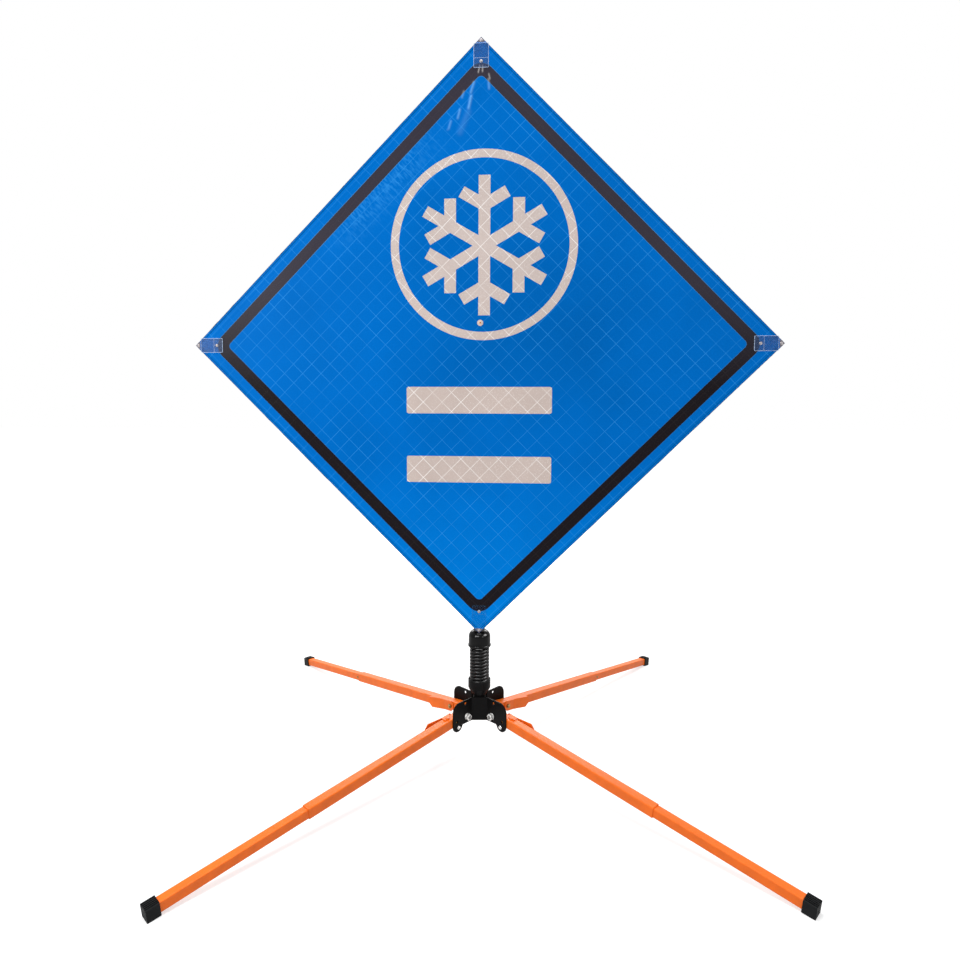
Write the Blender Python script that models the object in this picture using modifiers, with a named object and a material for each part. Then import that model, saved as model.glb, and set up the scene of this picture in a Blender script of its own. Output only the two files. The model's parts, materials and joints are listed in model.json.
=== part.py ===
"""Roll-up traffic sign on a four-legged spring stand.

A square reflective sheet stands on its corner, stretched by two crossed fibreglass ribs.
The upright rib drops into a bracket on top of a coil spring, and the spring stands in the
cup of a steel hub. Two bent plates on the hub carry four telescoping legs, each with a
release lever, a lock pin and a spring button. Metres, +Z up, the sign faces -Y.
"""

import math

import bmesh
import bpy
from mathutils import Matrix, Vector

# Sheet and ribs
SIGN_SIDE = 1.2155
SIGN_TURN = math.radians(-5.1)
TIP_DROP = 0.0018
SHEET_THICK = 0.0008
SHEET_FRONT_Y = -0.024
SHEET_CELLS = 22
FOLD_HEIGHT = 0.0028
RIB_WIDTH = 0.0318
UPRIGHT_THICK = 0.0095
CROSS_THICK = 0.0048
RIB_TIP_GAP = 0.0215
KEEPER_RISE = 0.062
CLIP_WIDTH = 0.047
CLIP_THICK = 0.002
CLIP_REACH = 0.084
CLIP_BLOCK = 0.010
CLIP_END_GAP = 0.0075
PLATE_THICK = 0.0012
PLATE_START = 0.017
PLATE_END = 0.089

# Legs
LEG_SLOPE = math.radians(6.73)
LEG_AZIMUTH = math.radians(45.0)
LINE_OFFSET = 0.025
PIVOT_REACH = 0.0705
OUTER_TUBE = 0.0278
OUTER_WALL = 0.0016
OUTER_TAIL = 0.016
OUTER_END = 0.540
INNER_TUBE = 0.0238
INNER_WALL = 0.0016
INNER_OVERLAP = 0.110
TUBE_CORNER = 0.003
FOOT_REACH = 0.9175
FOOT_CAP = 0.0315
FOOT_CAP_LENGTH = 0.0283
FOOT_CAP_END = 0.005
FOOT_FACET = 0.0015
FOOT_RIBS = 5
FOOT_RIB_DEPTH = 0.0012
FIT_GAP = 0.0003

# Pivots, stops and locks
BOLT_RADIUS = 0.006
BOLT_HEAD_RADIUS = 0.0105
BOLT_HEAD_THICK = 0.005
NUT_HEX_RADIUS = 0.0108
NUT_THICK = 0.0098
NUT_FLANGE_RADIUS = 0.0122
NUT_FLANGE_THICK = 0.0024
BOLT_PROUD = 0.002
STOP_RADIUS = 0.004
STOP_ALONG = 0.0374
STOP_LENGTH = 0.011
STOP_HEAD_RADIUS = 0.0058
STOP_HEAD_THICK = 0.0032
LOCK_ARM = 0.041
LOCK_RADIUS = 0.004
LOCK_HEAD_RADIUS = 0.0062
LOCK_HEAD_THICK = 0.0032
STOWED_ANGLE = math.radians(82.0)

# Release levers
LEVER_THICK = 0.002
LEVER_GAP = 0.0015
LEVER_START = 0.028
LEVER_END = 0.130
LEVER_UP = 0.0158
LEVER_DOWN = 0.0150
LEVER_FLARE = math.radians(10.8)
LEVER_BEND = 0.066
LEVER_BEND_RADIUS = 0.012
LEVER_SLOT_GAP = 0.0005
LEVER_SLOT_RUN = 0.0030
FULCRUM_ALONG = 0.063
FULCRUM_SIDE = 0.003
FULCRUM_RADIUS = 0.003
TAB_NEAR = 0.0485
TAB_FAR = 0.0712
FLANGE_START = 0.078
FLANGE_END = 0.126

# Spring buttons
BUTTON_RADIUS = 0.0034
BUTTON_PROUD = 0.0030
BUTTON_OFFSET = 0.0062
BUTTON_LEAF = 0.034
BUTTON_LEAF_WIDTH = 0.010
BUTTON_LEAF_THICK = 0.0008

# Hub and its bent plates
COLUMN = 0.0384
COLUMN_CORNER = 0.003
COLUMN_DROP = 0.0187
COLUMN_RISE = 0.0503
BRACKET_THICK = 0.003
WING_GAP = 0.0006
WING_BEND_RADIUS = 0.0045
WING_REACH = 0.101
BRACKET_RISE = 0.0513
ARCH_DROP = 0.0192
SHOULDER_RADIUS = 0.026
LOBE_RADIUS = 0.019
LOBE_DROP = 0.0167
LOBE_FILLET = 0.004
CUP_RADIUS = 0.034
CUP_WALL = 0.0028
CUP_RIM_RISE = 0.1017
CUP_SIDE_RISE = 0.0751
CUP_SEAT_RISE = 0.0775
SPIGOT_RADIUS = 0.017
SPIGOT_HEIGHT = 0.016

# Spring and upper cap
WIRE = 0.0095
SPRING_RADIUS = 0.0302
SPRING_PITCH = 0.01027
SPRING_TURNS = 10.5
SPRING_POINTS = 10
SPRING_BEND = 0.005
CAP_RADIUS = 0.0334
CAP_LIP_RADIUS = 0.0348
CAP_LIP_HEIGHT = 0.0055
CAP_SOCKET = 0.0102
CAP_SHOULDER = 0.0290
CAP_TOP_RADIUS = 0.0142
CAP_SHOULDER_RISE = 0.0198

# Rib bracket and its clamp screw
SHELF_THICK = 0.0028
SHELF_WIDTH = 0.032
STEM_HEIGHT = 0.034
STEM_BACK_Y = 0.006
CHANNEL_THICK = 0.003
CHANNEL_START = 0.034
CHANNEL_HEIGHT = 0.062
CHANNEL_GAP = 0.0006
SCREW_RADIUS = 0.004
SCREW_RISE = 0.070
SCREW_BOSS_RADIUS = 0.009
SCREW_BOSS_LENGTH = 0.008
SCREW_KNOB_RADIUS = 0.011
SCREW_KNOB_LENGTH = 0.010
SCREW_WING = 0.034

# Derived places
LEG_DROP = FOOT_REACH * math.sin(LEG_SLOPE) + FOOT_CAP / 2 * math.cos(LEG_SLOPE)
PIVOT_HEIGHT = LEG_DROP - FOOT_FACET
COLUMN_BOTTOM = PIVOT_HEIGHT - COLUMN_DROP
COLUMN_TOP = PIVOT_HEIGHT + COLUMN_RISE
BRACKET_TOP = PIVOT_HEIGHT + BRACKET_RISE
BRACKET_ARCH = PIVOT_HEIGHT - ARCH_DROP
LOBE_HEIGHT = PIVOT_HEIGHT - LOBE_DROP
CUP_RIM = PIVOT_HEIGHT + CUP_RIM_RISE
CUP_SIDE = PIVOT_HEIGHT + CUP_SIDE_RISE
CUP_SEAT = PIVOT_HEIGHT + CUP_SEAT_RISE
WING_OFFSET = OUTER_TUBE / 2 + WING_GAP + BRACKET_THICK / 2
FLAT_Y = COLUMN / 2 + FIT_GAP + BRACKET_THICK / 2
BEND_REACH = (FLAT_Y + LINE_OFFSET) * math.sqrt(2) - WING_OFFSET
BEND_X = FLAT_Y - WING_OFFSET * math.sqrt(2) + LINE_OFFSET
COIL_RADIUS = SPRING_RADIUS - WIRE / 2
SPRING_BOTTOM = CUP_SEAT + FIT_GAP
SPRING_END = WIRE + SPRING_BEND
SPRING_TOP = SPRING_BOTTOM + 2 * SPRING_END + SPRING_PITCH * SPRING_TURNS
CAP_SEAT = SPRING_TOP + FIT_GAP
CAP_BOTTOM = CAP_SEAT - CAP_SOCKET
CAP_TOP = CAP_BOTTOM + CAP_SHOULDER + CAP_SHOULDER_RISE
TILT_HEIGHT = (SPRING_BOTTOM + SPRING_TOP) / 2
SIGN_TIP = CAP_TOP - TIP_DROP
HALF_DIAGONAL = SIGN_SIDE / math.sqrt(2)
SIGN_CENTRE = SIGN_TIP + HALF_DIAGONAL
SHEET_BACK_Y = SHEET_FRONT_Y + SHEET_THICK
UPRIGHT_FRONT_Y = SHEET_BACK_Y + FIT_GAP
UPRIGHT_BACK_Y = UPRIGHT_FRONT_Y + UPRIGHT_THICK
CROSS_FRONT_Y = UPRIGHT_BACK_Y + FIT_GAP
CROSS_BACK_Y = CROSS_FRONT_Y + CROSS_THICK
CHANNEL_FRONT_Y = UPRIGHT_BACK_Y + FIT_GAP + CLIP_THICK + FIT_GAP
LEVER_INNER = OUTER_TUBE / 2 + LEVER_GAP
TAB_LEVEL = OUTER_TUBE / 2 + 0.0006

for old in list(bpy.data.objects):
    bpy.data.objects.remove(old, do_unlink=True)

sign_set = bpy.data.collections.new("roll_up_traffic_sign")
cutter_set = bpy.data.collections.new("cutters")
bpy.context.scene.collection.children.link(sign_set)
bpy.context.scene.collection.children.link(cutter_set)


def paint(name, colour, roughness, metallic=0.0):
    """A Principled material."""
    material = bpy.data.materials.new(name)
    material.use_nodes = True
    shader = material.node_tree.nodes["Principled BSDF"]
    shader.inputs["Base Color"].default_value = (*colour, 1.0)
    shader.inputs["Roughness"].default_value = roughness
    shader.inputs["Metallic"].default_value = metallic
    return material


ORANGE = paint("orange_powder_coat", (0.80, 0.16, 0.02), 0.42)
BLACK = paint("black_powder_coat", (0.012, 0.012, 0.013), 0.45)
BLUE = paint("blue_retroreflective_sheet", (0.0, 0.16, 0.62), 0.30)
ZINC = paint("zinc_plate", (0.62, 0.62, 0.60), 0.32, 1.0)
SPRING_STEEL = paint("black_spring_steel", (0.018, 0.018, 0.019), 0.38)
RUBBER = paint("black_foot_rubber", (0.015, 0.015, 0.015), 0.65)
FIBREGLASS = paint("black_fibreglass", (0.02, 0.02, 0.02), 0.5)
CLEAR = paint("clear_polycarbonate", (0.75, 0.85, 0.92), 0.12)
GREY = paint("grey_clip_steel", (0.42, 0.43, 0.45), 0.4, 0.8)


def empty(name, location, rotation=None, parent=None):
    """An axis empty; its rotation is a 4x4 matrix."""
    axis = bpy.data.objects.new(name, None)
    axis.empty_display_size = 0.03
    turn = rotation if rotation is not None else Matrix.Identity(4)
    axis.matrix_local = Matrix.Translation(location) @ turn
    axis.parent = parent
    sign_set.objects.link(axis)
    return axis


def piece(name, mesh, material, parent, location=(0, 0, 0), smooth=None):
    """A named solid under its axis empty."""
    mesh.name = name
    mesh.materials.clear()
    mesh.materials.append(material)
    solid = bpy.data.objects.new(name, mesh)
    solid.parent = parent
    solid.location = location
    if smooth is not None:
        mesh.shade_smooth()
        mesh.set_sharp_from_angle(angle=math.radians(smooth))
    sign_set.objects.link(solid)
    return solid


def combine(target, mesh, operation):
    """Cuts the mesh from the target, or joins it on, with an exact Boolean."""
    tool = bpy.data.objects.new(target.name + "_tool", mesh)
    tool.parent = target.parent
    tool.location = target.location
    tool.hide_render = True
    tool.display_type = "WIRE"
    cutter_set.objects.link(tool)
    step = target.modifiers.new(operation.lower(), "BOOLEAN")
    step.operation = operation
    step.solver = "EXACT"
    step.object = tool
    return target


def box(low, high):
    """A box between two corners."""
    shape = bmesh.new()
    middle = (Vector(low) + Vector(high)) / 2
    size = Vector(high) - Vector(low)
    place = Matrix.Translation(middle) @ Matrix.Diagonal((*size, 1.0))
    bmesh.ops.create_cube(shape, size=1.0, matrix=place)
    mesh = bpy.data.meshes.new("box")
    shape.to_mesh(mesh)
    shape.free()
    return mesh


def rod(radius, start, end, sides=16, turn=0.0):
    """A cylinder, or a hexagon with six sides, from start to end."""
    start, end = Vector(start), Vector(end)
    along = end - start
    aim = along.to_track_quat("Z", "Y").to_matrix().to_4x4()
    place = Matrix.Translation((start + end) / 2) @ aim @ Matrix.Rotation(turn, 4, "Z")
    shape = bmesh.new()
    bmesh.ops.create_cone(
        shape, cap_ends=True, segments=sides, radius1=radius, radius2=radius,
        depth=along.length, matrix=place,
    )
    mesh = bpy.data.meshes.new("rod")
    shape.to_mesh(mesh)
    shape.free()
    return mesh


def turned(name, profile, material, parent, location, steps=32):
    """A profile of (radius, height) points, top to bottom, turned about Z."""
    mesh = bpy.data.meshes.new(name)
    edges = [(n, n + 1) for n in range(len(profile) - 1)]
    if profile[0][0] > 1e-6:
        edges.append((len(profile) - 1, 0))
    mesh.from_pydata([(r, 0.0, z) for r, z in profile], edges, [])
    solid = piece(name, mesh, material, parent, location)
    screw = solid.modifiers.new("turn", "SCREW")
    screw.axis = "Z"
    screw.steps = steps
    screw.render_steps = steps
    screw.use_merge_vertices = True
    screw.merge_threshold = 0.00001
    screw.use_normal_calculate = False
    screw.use_smooth_shade = True
    return solid


def plate(outlines, thickness):
    """A flat plate in XY from closed outlines, the first outside and the rest holes."""
    curve = bpy.data.curves.new("outline", "CURVE")
    curve.dimensions = "2D"
    curve.fill_mode = "BOTH"
    curve.extrude = thickness / 2
    for points in outlines:
        spline = curve.splines.new("POLY")
        spline.points.add(len(points) - 1)
        spline.points.foreach_set("co", [c for a, b in points for c in (a, b, 0.0, 1.0)])
        spline.use_cyclic_u = True
    guide = bpy.data.objects.new("outline", curve)
    cutter_set.objects.link(guide)
    bpy.context.view_layer.update()
    ready = guide.evaluated_get(bpy.context.evaluated_depsgraph_get())
    mesh = bpy.data.meshes.new_from_object(ready)
    bpy.data.objects.remove(guide)
    bpy.data.curves.remove(curve)
    shape = bmesh.new()
    shape.from_mesh(mesh)
    bmesh.ops.remove_doubles(shape, verts=shape.verts, dist=0.00001)
    merge_flats(shape)
    bmesh.ops.recalc_face_normals(shape, faces=shape.faces)
    shape.to_mesh(mesh)
    shape.free()
    return mesh


def merge_flats(shape):
    """Joins faces that lie in one plane."""
    bmesh.ops.dissolve_limit(
        shape, angle_limit=math.radians(0.5), verts=shape.verts[:], edges=shape.edges[:]
    )


def arc(x, y, radius, start, end, steps):
    """Points on an arc, angles in degrees, both ends included."""
    turns = [math.radians(start + (end - start) * n / steps) for n in range(steps + 1)]
    return [(x + radius * math.cos(t), y + radius * math.sin(t)) for t in turns]


def ring(x, y, radius, steps=16):
    """A closed circle of points."""
    return arc(x, y, radius, 0, 360 - 360 / steps, steps - 1)


def rounded(half_x, half_y, radius, steps=3):
    """A rounded rectangle about the origin."""
    a, b = half_x - radius, half_y - radius
    corners = ((a, b, 0), (-a, b, 90), (-a, -b, 180), (a, -b, 270))
    return [p for x, y, t in corners for p in arc(x, y, radius, t, t + 90, steps)]


def to_axes(mesh, first, second, third, origin=(0, 0, 0)):
    """Lays a mesh's X, Y and Z along three given directions."""
    turn = Matrix((first, second, third)).transposed().to_4x4()
    mesh.transform(Matrix.Translation(origin) @ turn)
    if turn.to_3x3().determinant() < 0:
        mesh.flip_normals()
    return mesh


def tube(size, wall, corner, start, end):
    """A square tube along X."""
    inner = size / 2 - wall
    outlines = [rounded(size / 2, size / 2, corner), rounded(inner, inner, corner - wall / 2)]
    mesh = plate(outlines, end - start)
    return to_axes(mesh, (0, 1, 0), (0, 0, 1), (1, 0, 0), ((start + end) / 2, 0, 0))


def folded(mesh, start, radius, angle, steps, mirror=False):
    """Bends a plate that lies in XZ towards +Y past X = start, and past -start too."""
    shape = bmesh.new()
    shape.from_mesh(mesh)
    for side in (1, -1) if mirror else (1,):
        for n in range(steps + 1):
            at = side * (start + radius * angle * n / steps)
            everything = shape.verts[:] + shape.edges[:] + shape.faces[:]
            bmesh.ops.bisect_plane(
                shape, geom=everything, dist=1e-6, plane_co=(at, 0, 0), plane_no=(1, 0, 0)
            )
    for vert in shape.verts:
        side = -1 if mirror and vert.co.x < 0 else 1
        past = side * vert.co.x - start
        if past <= 0:
            continue
        turn = min(past / radius, angle)
        rest = max(past - radius * angle, 0.0)
        depth = radius - vert.co.y
        x = start + depth * math.sin(turn) + rest * math.cos(turn)
        vert.co.y = radius - depth * math.cos(turn) + rest * math.sin(turn)
        vert.co.x = side * x
    shape.to_mesh(mesh)
    shape.free()
    return mesh


def developed(reach):
    """The distance from a bent plate's middle, rolled out flat, of a point on its wing."""
    tangent = WING_BEND_RADIUS * math.tan(LEG_AZIMUTH / 2)
    arc_length = WING_BEND_RADIUS * LEG_AZIMUTH
    return BEND_X + (reach - BEND_REACH) - 2 * tangent + arc_length


def build_hub(stand):
    """Square column with a tapered neck and the spring's cup, welded into one."""
    inner = CUP_RADIUS - CUP_WALL
    neck = COLUMN / 2 - 0.0004
    profile = [
        (0.0, CUP_SEAT + SPIGOT_HEIGHT),
        (SPIGOT_RADIUS - 0.002, CUP_SEAT + SPIGOT_HEIGHT),
        (SPIGOT_RADIUS, CUP_SEAT + SPIGOT_HEIGHT - 0.002),
        (SPIGOT_RADIUS, CUP_SEAT),
        (inner, CUP_SEAT),
        (inner, CUP_RIM - 0.0006),
        (inner + 0.0006, CUP_RIM),
        (CUP_RADIUS - 0.0008, CUP_RIM),
        (CUP_RADIUS, CUP_RIM - 0.0008),
        (CUP_RADIUS, CUP_SIDE + 0.002),
        (CUP_RADIUS - 0.0010, CUP_SIDE - 0.001),
        (neck + 0.003, COLUMN_TOP + 0.005),
        (neck, COLUMN_TOP + 0.002),
        (neck, COLUMN_TOP - 0.006),
        (0.0, COLUMN_TOP - 0.006),
    ]
    hub = turned("hub", profile, BLACK, stand, (0, 0, 0))
    half = COLUMN / 2
    column = plate([rounded(half, half, COLUMN_CORNER)], COLUMN_TOP - COLUMN_BOTTOM)
    column.transform(Matrix.Translation((0, 0, (COLUMN_TOP + COLUMN_BOTTOM) / 2)))
    combine(hub, column, "UNION")
    bore = half - BRACKET_THICK
    hollow = plate([rounded(bore, bore, COLUMN_CORNER - 0.001)], 0.060)
    hollow.transform(Matrix.Translation((0, 0, COLUMN_BOTTOM + 0.025)))
    return combine(hub, hollow, "DIFFERENCE")


def bracket_outline():
    """Half the bent plate's outline rolled out flat, from the arch to the top, at +X."""
    lobe_x = WING_REACH - LOBE_RADIUS
    drop = LOBE_HEIGHT - (BRACKET_ARCH - LOBE_FILLET)
    across = math.sqrt((LOBE_RADIUS + LOBE_FILLET) ** 2 - drop ** 2)
    meet = math.degrees(math.atan2(drop, across))
    shoulder = (WING_REACH - SHOULDER_RADIUS, BRACKET_TOP - SHOULDER_RADIUS)
    points = arc(lobe_x - across, BRACKET_ARCH - LOBE_FILLET, LOBE_FILLET, 90, meet, 4)
    points += arc(lobe_x, LOBE_HEIGHT, LOBE_RADIUS, 180 + meet, 360, 12)
    points += arc(*shoulder, SHOULDER_RADIUS, 0, 90, 8)
    return points


def leg_point(along, above):
    """Reach and height of a point given along and above a lowered leg's line."""
    reach = PIVOT_REACH + along * math.cos(LEG_SLOPE) + above * math.sin(LEG_SLOPE)
    height = PIVOT_HEIGHT - along * math.sin(LEG_SLOPE) + above * math.cos(LEG_SLOPE)
    return developed(reach), height


def build_bracket(name, stand, turn):
    """Bent plate on the column's front or back, its wings beside two legs."""
    right = bracket_outline()
    left = [(-x, z) for x, z in reversed(right)]
    stow_x = developed(PIVOT_REACH + LOCK_ARM * math.cos(STOWED_ANGLE))
    stow_z = PIVOT_HEIGHT + LOCK_ARM * math.sin(STOWED_ANGLE)
    holes = [
        (*leg_point(0, 0), BOLT_RADIUS + FIT_GAP, 16),
        (*leg_point(LOCK_ARM, 0), LOCK_RADIUS + FIT_GAP, 10),
        (*leg_point(STOP_ALONG, -STOP_DROP), STOP_RADIUS + FIT_GAP, 12),
        (stow_x, stow_z, LOCK_RADIUS + FIT_GAP, 10),
    ]
    outlines = [right + left]
    outlines += [ring(s * x, z, r, n) for x, z, r, n in holes for s in (1, -1)]
    mesh = to_axes(plate(outlines, BRACKET_THICK), (1, 0, 0), (0, 0, 1), (0, -1, 0))
    bend = BEND_X - WING_BEND_RADIUS * math.tan(LEG_AZIMUTH / 2)
    folded(mesh, bend, WING_BEND_RADIUS, LEG_AZIMUTH, 3, mirror=True)
    mesh.transform(Matrix.Rotation(turn, 4, "Z") @ Matrix.Translation((0, FLAT_Y, 0)))
    return piece(name, mesh, BLACK, stand, smooth=25)


STOP_DROP = OUTER_TUBE / 2 + FIT_GAP + STOP_RADIUS


def leg_axis(name, x_side, y_side, stand):
    """The pivot's empty: X out along the leg, Y level, Z up and square to the leg."""
    out = Vector((x_side * math.cos(LEG_AZIMUTH), y_side * math.sin(LEG_AZIMUTH), 0))
    along = out * math.cos(LEG_SLOPE) - Vector((0, 0, math.sin(LEG_SLOPE)))
    up = out * math.sin(LEG_SLOPE) + Vector((0, 0, math.cos(LEG_SLOPE)))
    turn = Matrix((along, up.cross(along), up)).transposed().to_4x4()
    place = out * PIVOT_REACH + Vector((0, -y_side * LINE_OFFSET, PIVOT_HEIGHT))
    return empty(name + "_leg", place, turn, stand)


def build_pivot(name, leg, hand):
    """Shoulder bolt through leg and wing, with its flanged nut outside the wing."""
    head = OUTER_TUBE / 2 + FIT_GAP
    wing = OUTER_TUBE / 2 + WING_GAP + BRACKET_THICK + FIT_GAP
    nut_end = wing + NUT_FLANGE_THICK + NUT_THICK
    root = hand * (head + BOLT_HEAD_THICK / 2)
    bolt = rod(BOLT_RADIUS, (0, root, 0), (0, -hand * (nut_end + BOLT_PROUD), 0))
    bolt = piece(name + "_pivot_bolt", bolt, ZINC, leg, smooth=35)
    hexagon = rod(
        BOLT_HEAD_RADIUS, (0, hand * (head + BOLT_HEAD_THICK), 0), (0, hand * head, 0), 6
    )
    combine(bolt, hexagon, "UNION")
    flange_end = -hand * (wing + NUT_FLANGE_THICK)
    nut = rod(NUT_FLANGE_RADIUS, (0, -hand * wing, 0), (0, flange_end, 0), 24)
    nut = piece(name + "_pivot_nut", nut, ZINC, leg, smooth=35)
    start = -hand * (wing + NUT_FLANGE_THICK / 2)
    flats = rod(NUT_HEX_RADIUS, (0, start, 0), (0, -hand * nut_end, 0), 6, 0.3)
    combine(nut, flats, "UNION")
    reach = (0, hand * 0.001, 0), (0, -hand * (nut_end + 0.01), 0)
    combine(nut, rod(BOLT_RADIUS + FIT_GAP, *reach), "DIFFERENCE")


def build_stop(name, leg, hand):
    """Rivet through the wing's lobe that the lowered leg lies on."""
    inner = OUTER_TUBE / 2 + WING_GAP
    outer = inner + BRACKET_THICK + FIT_GAP
    at = (STOP_ALONG, 0, -STOP_DROP)
    root = -hand * (outer + STOP_HEAD_THICK / 2)
    mesh = rod(STOP_RADIUS, (0, -hand * (inner - STOP_LENGTH), 0), (0, root, 0), 12)
    stop = piece(name + "_stop_pin", mesh, ZINC, leg, at, smooth=35)
    start = -hand * (outer + STOP_HEAD_THICK)
    return combine(stop, rod(STOP_HEAD_RADIUS, (0, start, 0), (0, -hand * outer, 0)), "UNION")


def build_outer_tube(name, leg):
    """Square tube with holes for the pivot, the lock pin and the lever's pin."""
    mesh = tube(OUTER_TUBE, OUTER_WALL, TUBE_CORNER, -OUTER_TAIL, OUTER_END)
    outer = piece(name + "_outer_tube", mesh, ORANGE, leg, smooth=35)
    side = OUTER_TUBE
    combine(outer, rod(BOLT_RADIUS + FIT_GAP, (0, -side, 0), (0, side, 0)), "DIFFERENCE")
    lock = rod(LOCK_RADIUS + FIT_GAP, (LOCK_ARM, -side, 0), (LOCK_ARM, side, 0), 12)
    return combine(outer, lock, "DIFFERENCE")


def build_lever(name, leg, hand, flip):
    """Stamped release lever: side web, a tab over the tube and a flange on its pad."""
    rest = LEVER_INNER + LEVER_THICK / 2
    web = [
        (LEVER_START, -LEVER_DOWN + 0.006),
        (LEVER_START + 0.006, -LEVER_DOWN),
        (LEVER_END - 0.008, -LEVER_DOWN),
        (LEVER_END, -LEVER_DOWN + 0.008),
        (LEVER_END, 0.002),
        (LEVER_END - 0.012, LEVER_UP),
        (LEVER_START + 0.010, LEVER_UP),
        (LEVER_START, LEVER_UP - 0.010),
    ]
    wide = LOCK_RADIUS + LEVER_SLOT_GAP
    hole = arc(LOCK_ARM - LEVER_SLOT_RUN, 0, wide, 90, 270, 6)
    hole += arc(LOCK_ARM, 0, wide, -90, 90, 6)
    mesh = to_axes(plate([web, hole], LEVER_THICK), (1, 0, 0), (0, 0, 1), (0, -1, 0))
    folded(mesh, LEVER_BEND, LEVER_BEND_RADIUS, LEVER_FLARE, 3)
    mesh.transform(Matrix.Translation((0, rest, 0)))
    axis = empty(name + "_lever_axis", (FULCRUM_ALONG, hand * FULCRUM_SIDE, 0), None, leg)
    side = Matrix.Diagonal((1, hand, flip, 1))
    home = side @ Matrix.Translation((-FULCRUM_ALONG, -FULCRUM_SIDE, 0))

    def turned_to_leg(shape):
        shape.transform(home)
        if hand * flip < 0:
            shape.flip_normals()
        return shape

    lever = piece(name + "_lever", turned_to_leg(mesh), ORANGE, axis, smooth=30)
    tip = FULCRUM_SIDE - FULCRUM_RADIUS - 0.004
    tab = [
        (TAB_NEAR - 0.009, rest), (TAB_NEAR - 0.004, 0.011), (FULCRUM_ALONG - 0.011, tip + 0.003),
        (FULCRUM_ALONG - 0.006, tip), (FULCRUM_ALONG + 0.006, tip),
        (FULCRUM_ALONG + 0.011, tip + 0.003), (TAB_FAR, rest),
    ]
    pin_hole = ring(FULCRUM_ALONG, FULCRUM_SIDE, FULCRUM_RADIUS + FIT_GAP, 12)
    mesh = plate([tab, pin_hole], LEVER_THICK)
    mesh.transform(Matrix.Translation((0, 0, TAB_LEVEL + LEVER_THICK / 2)))
    combine(lever, turned_to_leg(mesh), "UNION")
    flare = math.tan(LEVER_FLARE)
    start = rest + (FLANGE_START - LEVER_BEND) * flare
    end = rest + (FLANGE_END - LEVER_BEND) * flare
    flange = [
        (FLANGE_START, start - 0.0022), (FLANGE_START, start), (FLANGE_END, end),
        (FLANGE_END, end - 0.012), (FLANGE_END - 0.008, end - 0.015),
    ]
    mesh = plate([flange], LEVER_THICK)
    mesh.transform(Matrix.Translation((0, 0, -TAB_LEVEL - LEVER_THICK / 2 + 0.0003)))
    combine(lever, turned_to_leg(mesh), "UNION")
    return axis


def build_lever_pin(name, leg, hand, flip):
    """Rivet that the lever rocks on, through the tab and both walls of the tube."""
    top = TAB_LEVEL + LEVER_THICK + FIT_GAP
    at = (FULCRUM_ALONG, hand * FULCRUM_SIDE, 0)
    low = -OUTER_TUBE / 2 - 0.0002
    mesh = rod(FULCRUM_RADIUS, (0, 0, flip * low), (0, 0, flip * (top + 0.0018)), 12)
    pin = piece(name + "_lever_pin", mesh, ZINC, leg, at, smooth=35)
    head = rod(FULCRUM_RADIUS + 0.0022, (0, 0, flip * top), (0, 0, flip * (top + 0.0018)), 12)
    combine(pin, head, "UNION")
    outer = bpy.data.objects[name + "_outer_tube"]
    reach = OUTER_TUBE
    hole = rod(FULCRUM_RADIUS + FIT_GAP, (FULCRUM_ALONG, at[1], -reach),
               (FULCRUM_ALONG, at[1], reach), 12)
    combine(outer, hole, "DIFFERENCE")


def build_lock_pin(name, leg, hand):
    """Pin that the lever draws out of the wing; its tip ends just short of the wing."""
    tip = -(OUTER_TUBE / 2 + FIT_GAP)
    shoulder = LEVER_INNER + LEVER_THICK + FIT_GAP
    mesh = rod(LOCK_RADIUS, (0, hand * tip, 0), (0, hand * (shoulder + LOCK_HEAD_THICK), 0), 12)
    pin = piece(name + "_lock_pin", mesh, ZINC, leg, (LOCK_ARM, 0, 0), smooth=35)
    head = rod(
        LOCK_HEAD_RADIUS, (0, hand * shoulder, 0), (0, hand * (shoulder + LOCK_HEAD_THICK), 0)
    )
    return combine(pin, head, "UNION")


def build_inner_tube(name, leg, hand):
    """Sliding tube, its spring button just past the outer tube's mouth, and a foot cap."""
    start = OUTER_END - INNER_OVERLAP
    end = FOOT_REACH - FOOT_CAP_END - FIT_GAP
    mesh = tube(INNER_TUBE, INNER_WALL, TUBE_CORNER - 0.0005, start, end)
    inner = piece(name + "_inner_tube", mesh, ORANGE, leg, smooth=35)
    at = OUTER_END + BUTTON_OFFSET
    hole = rod(BUTTON_RADIUS + FIT_GAP, (at, 0, 0), (at, hand * INNER_TUBE, 0))
    return combine(inner, hole, "DIFFERENCE")


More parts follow.
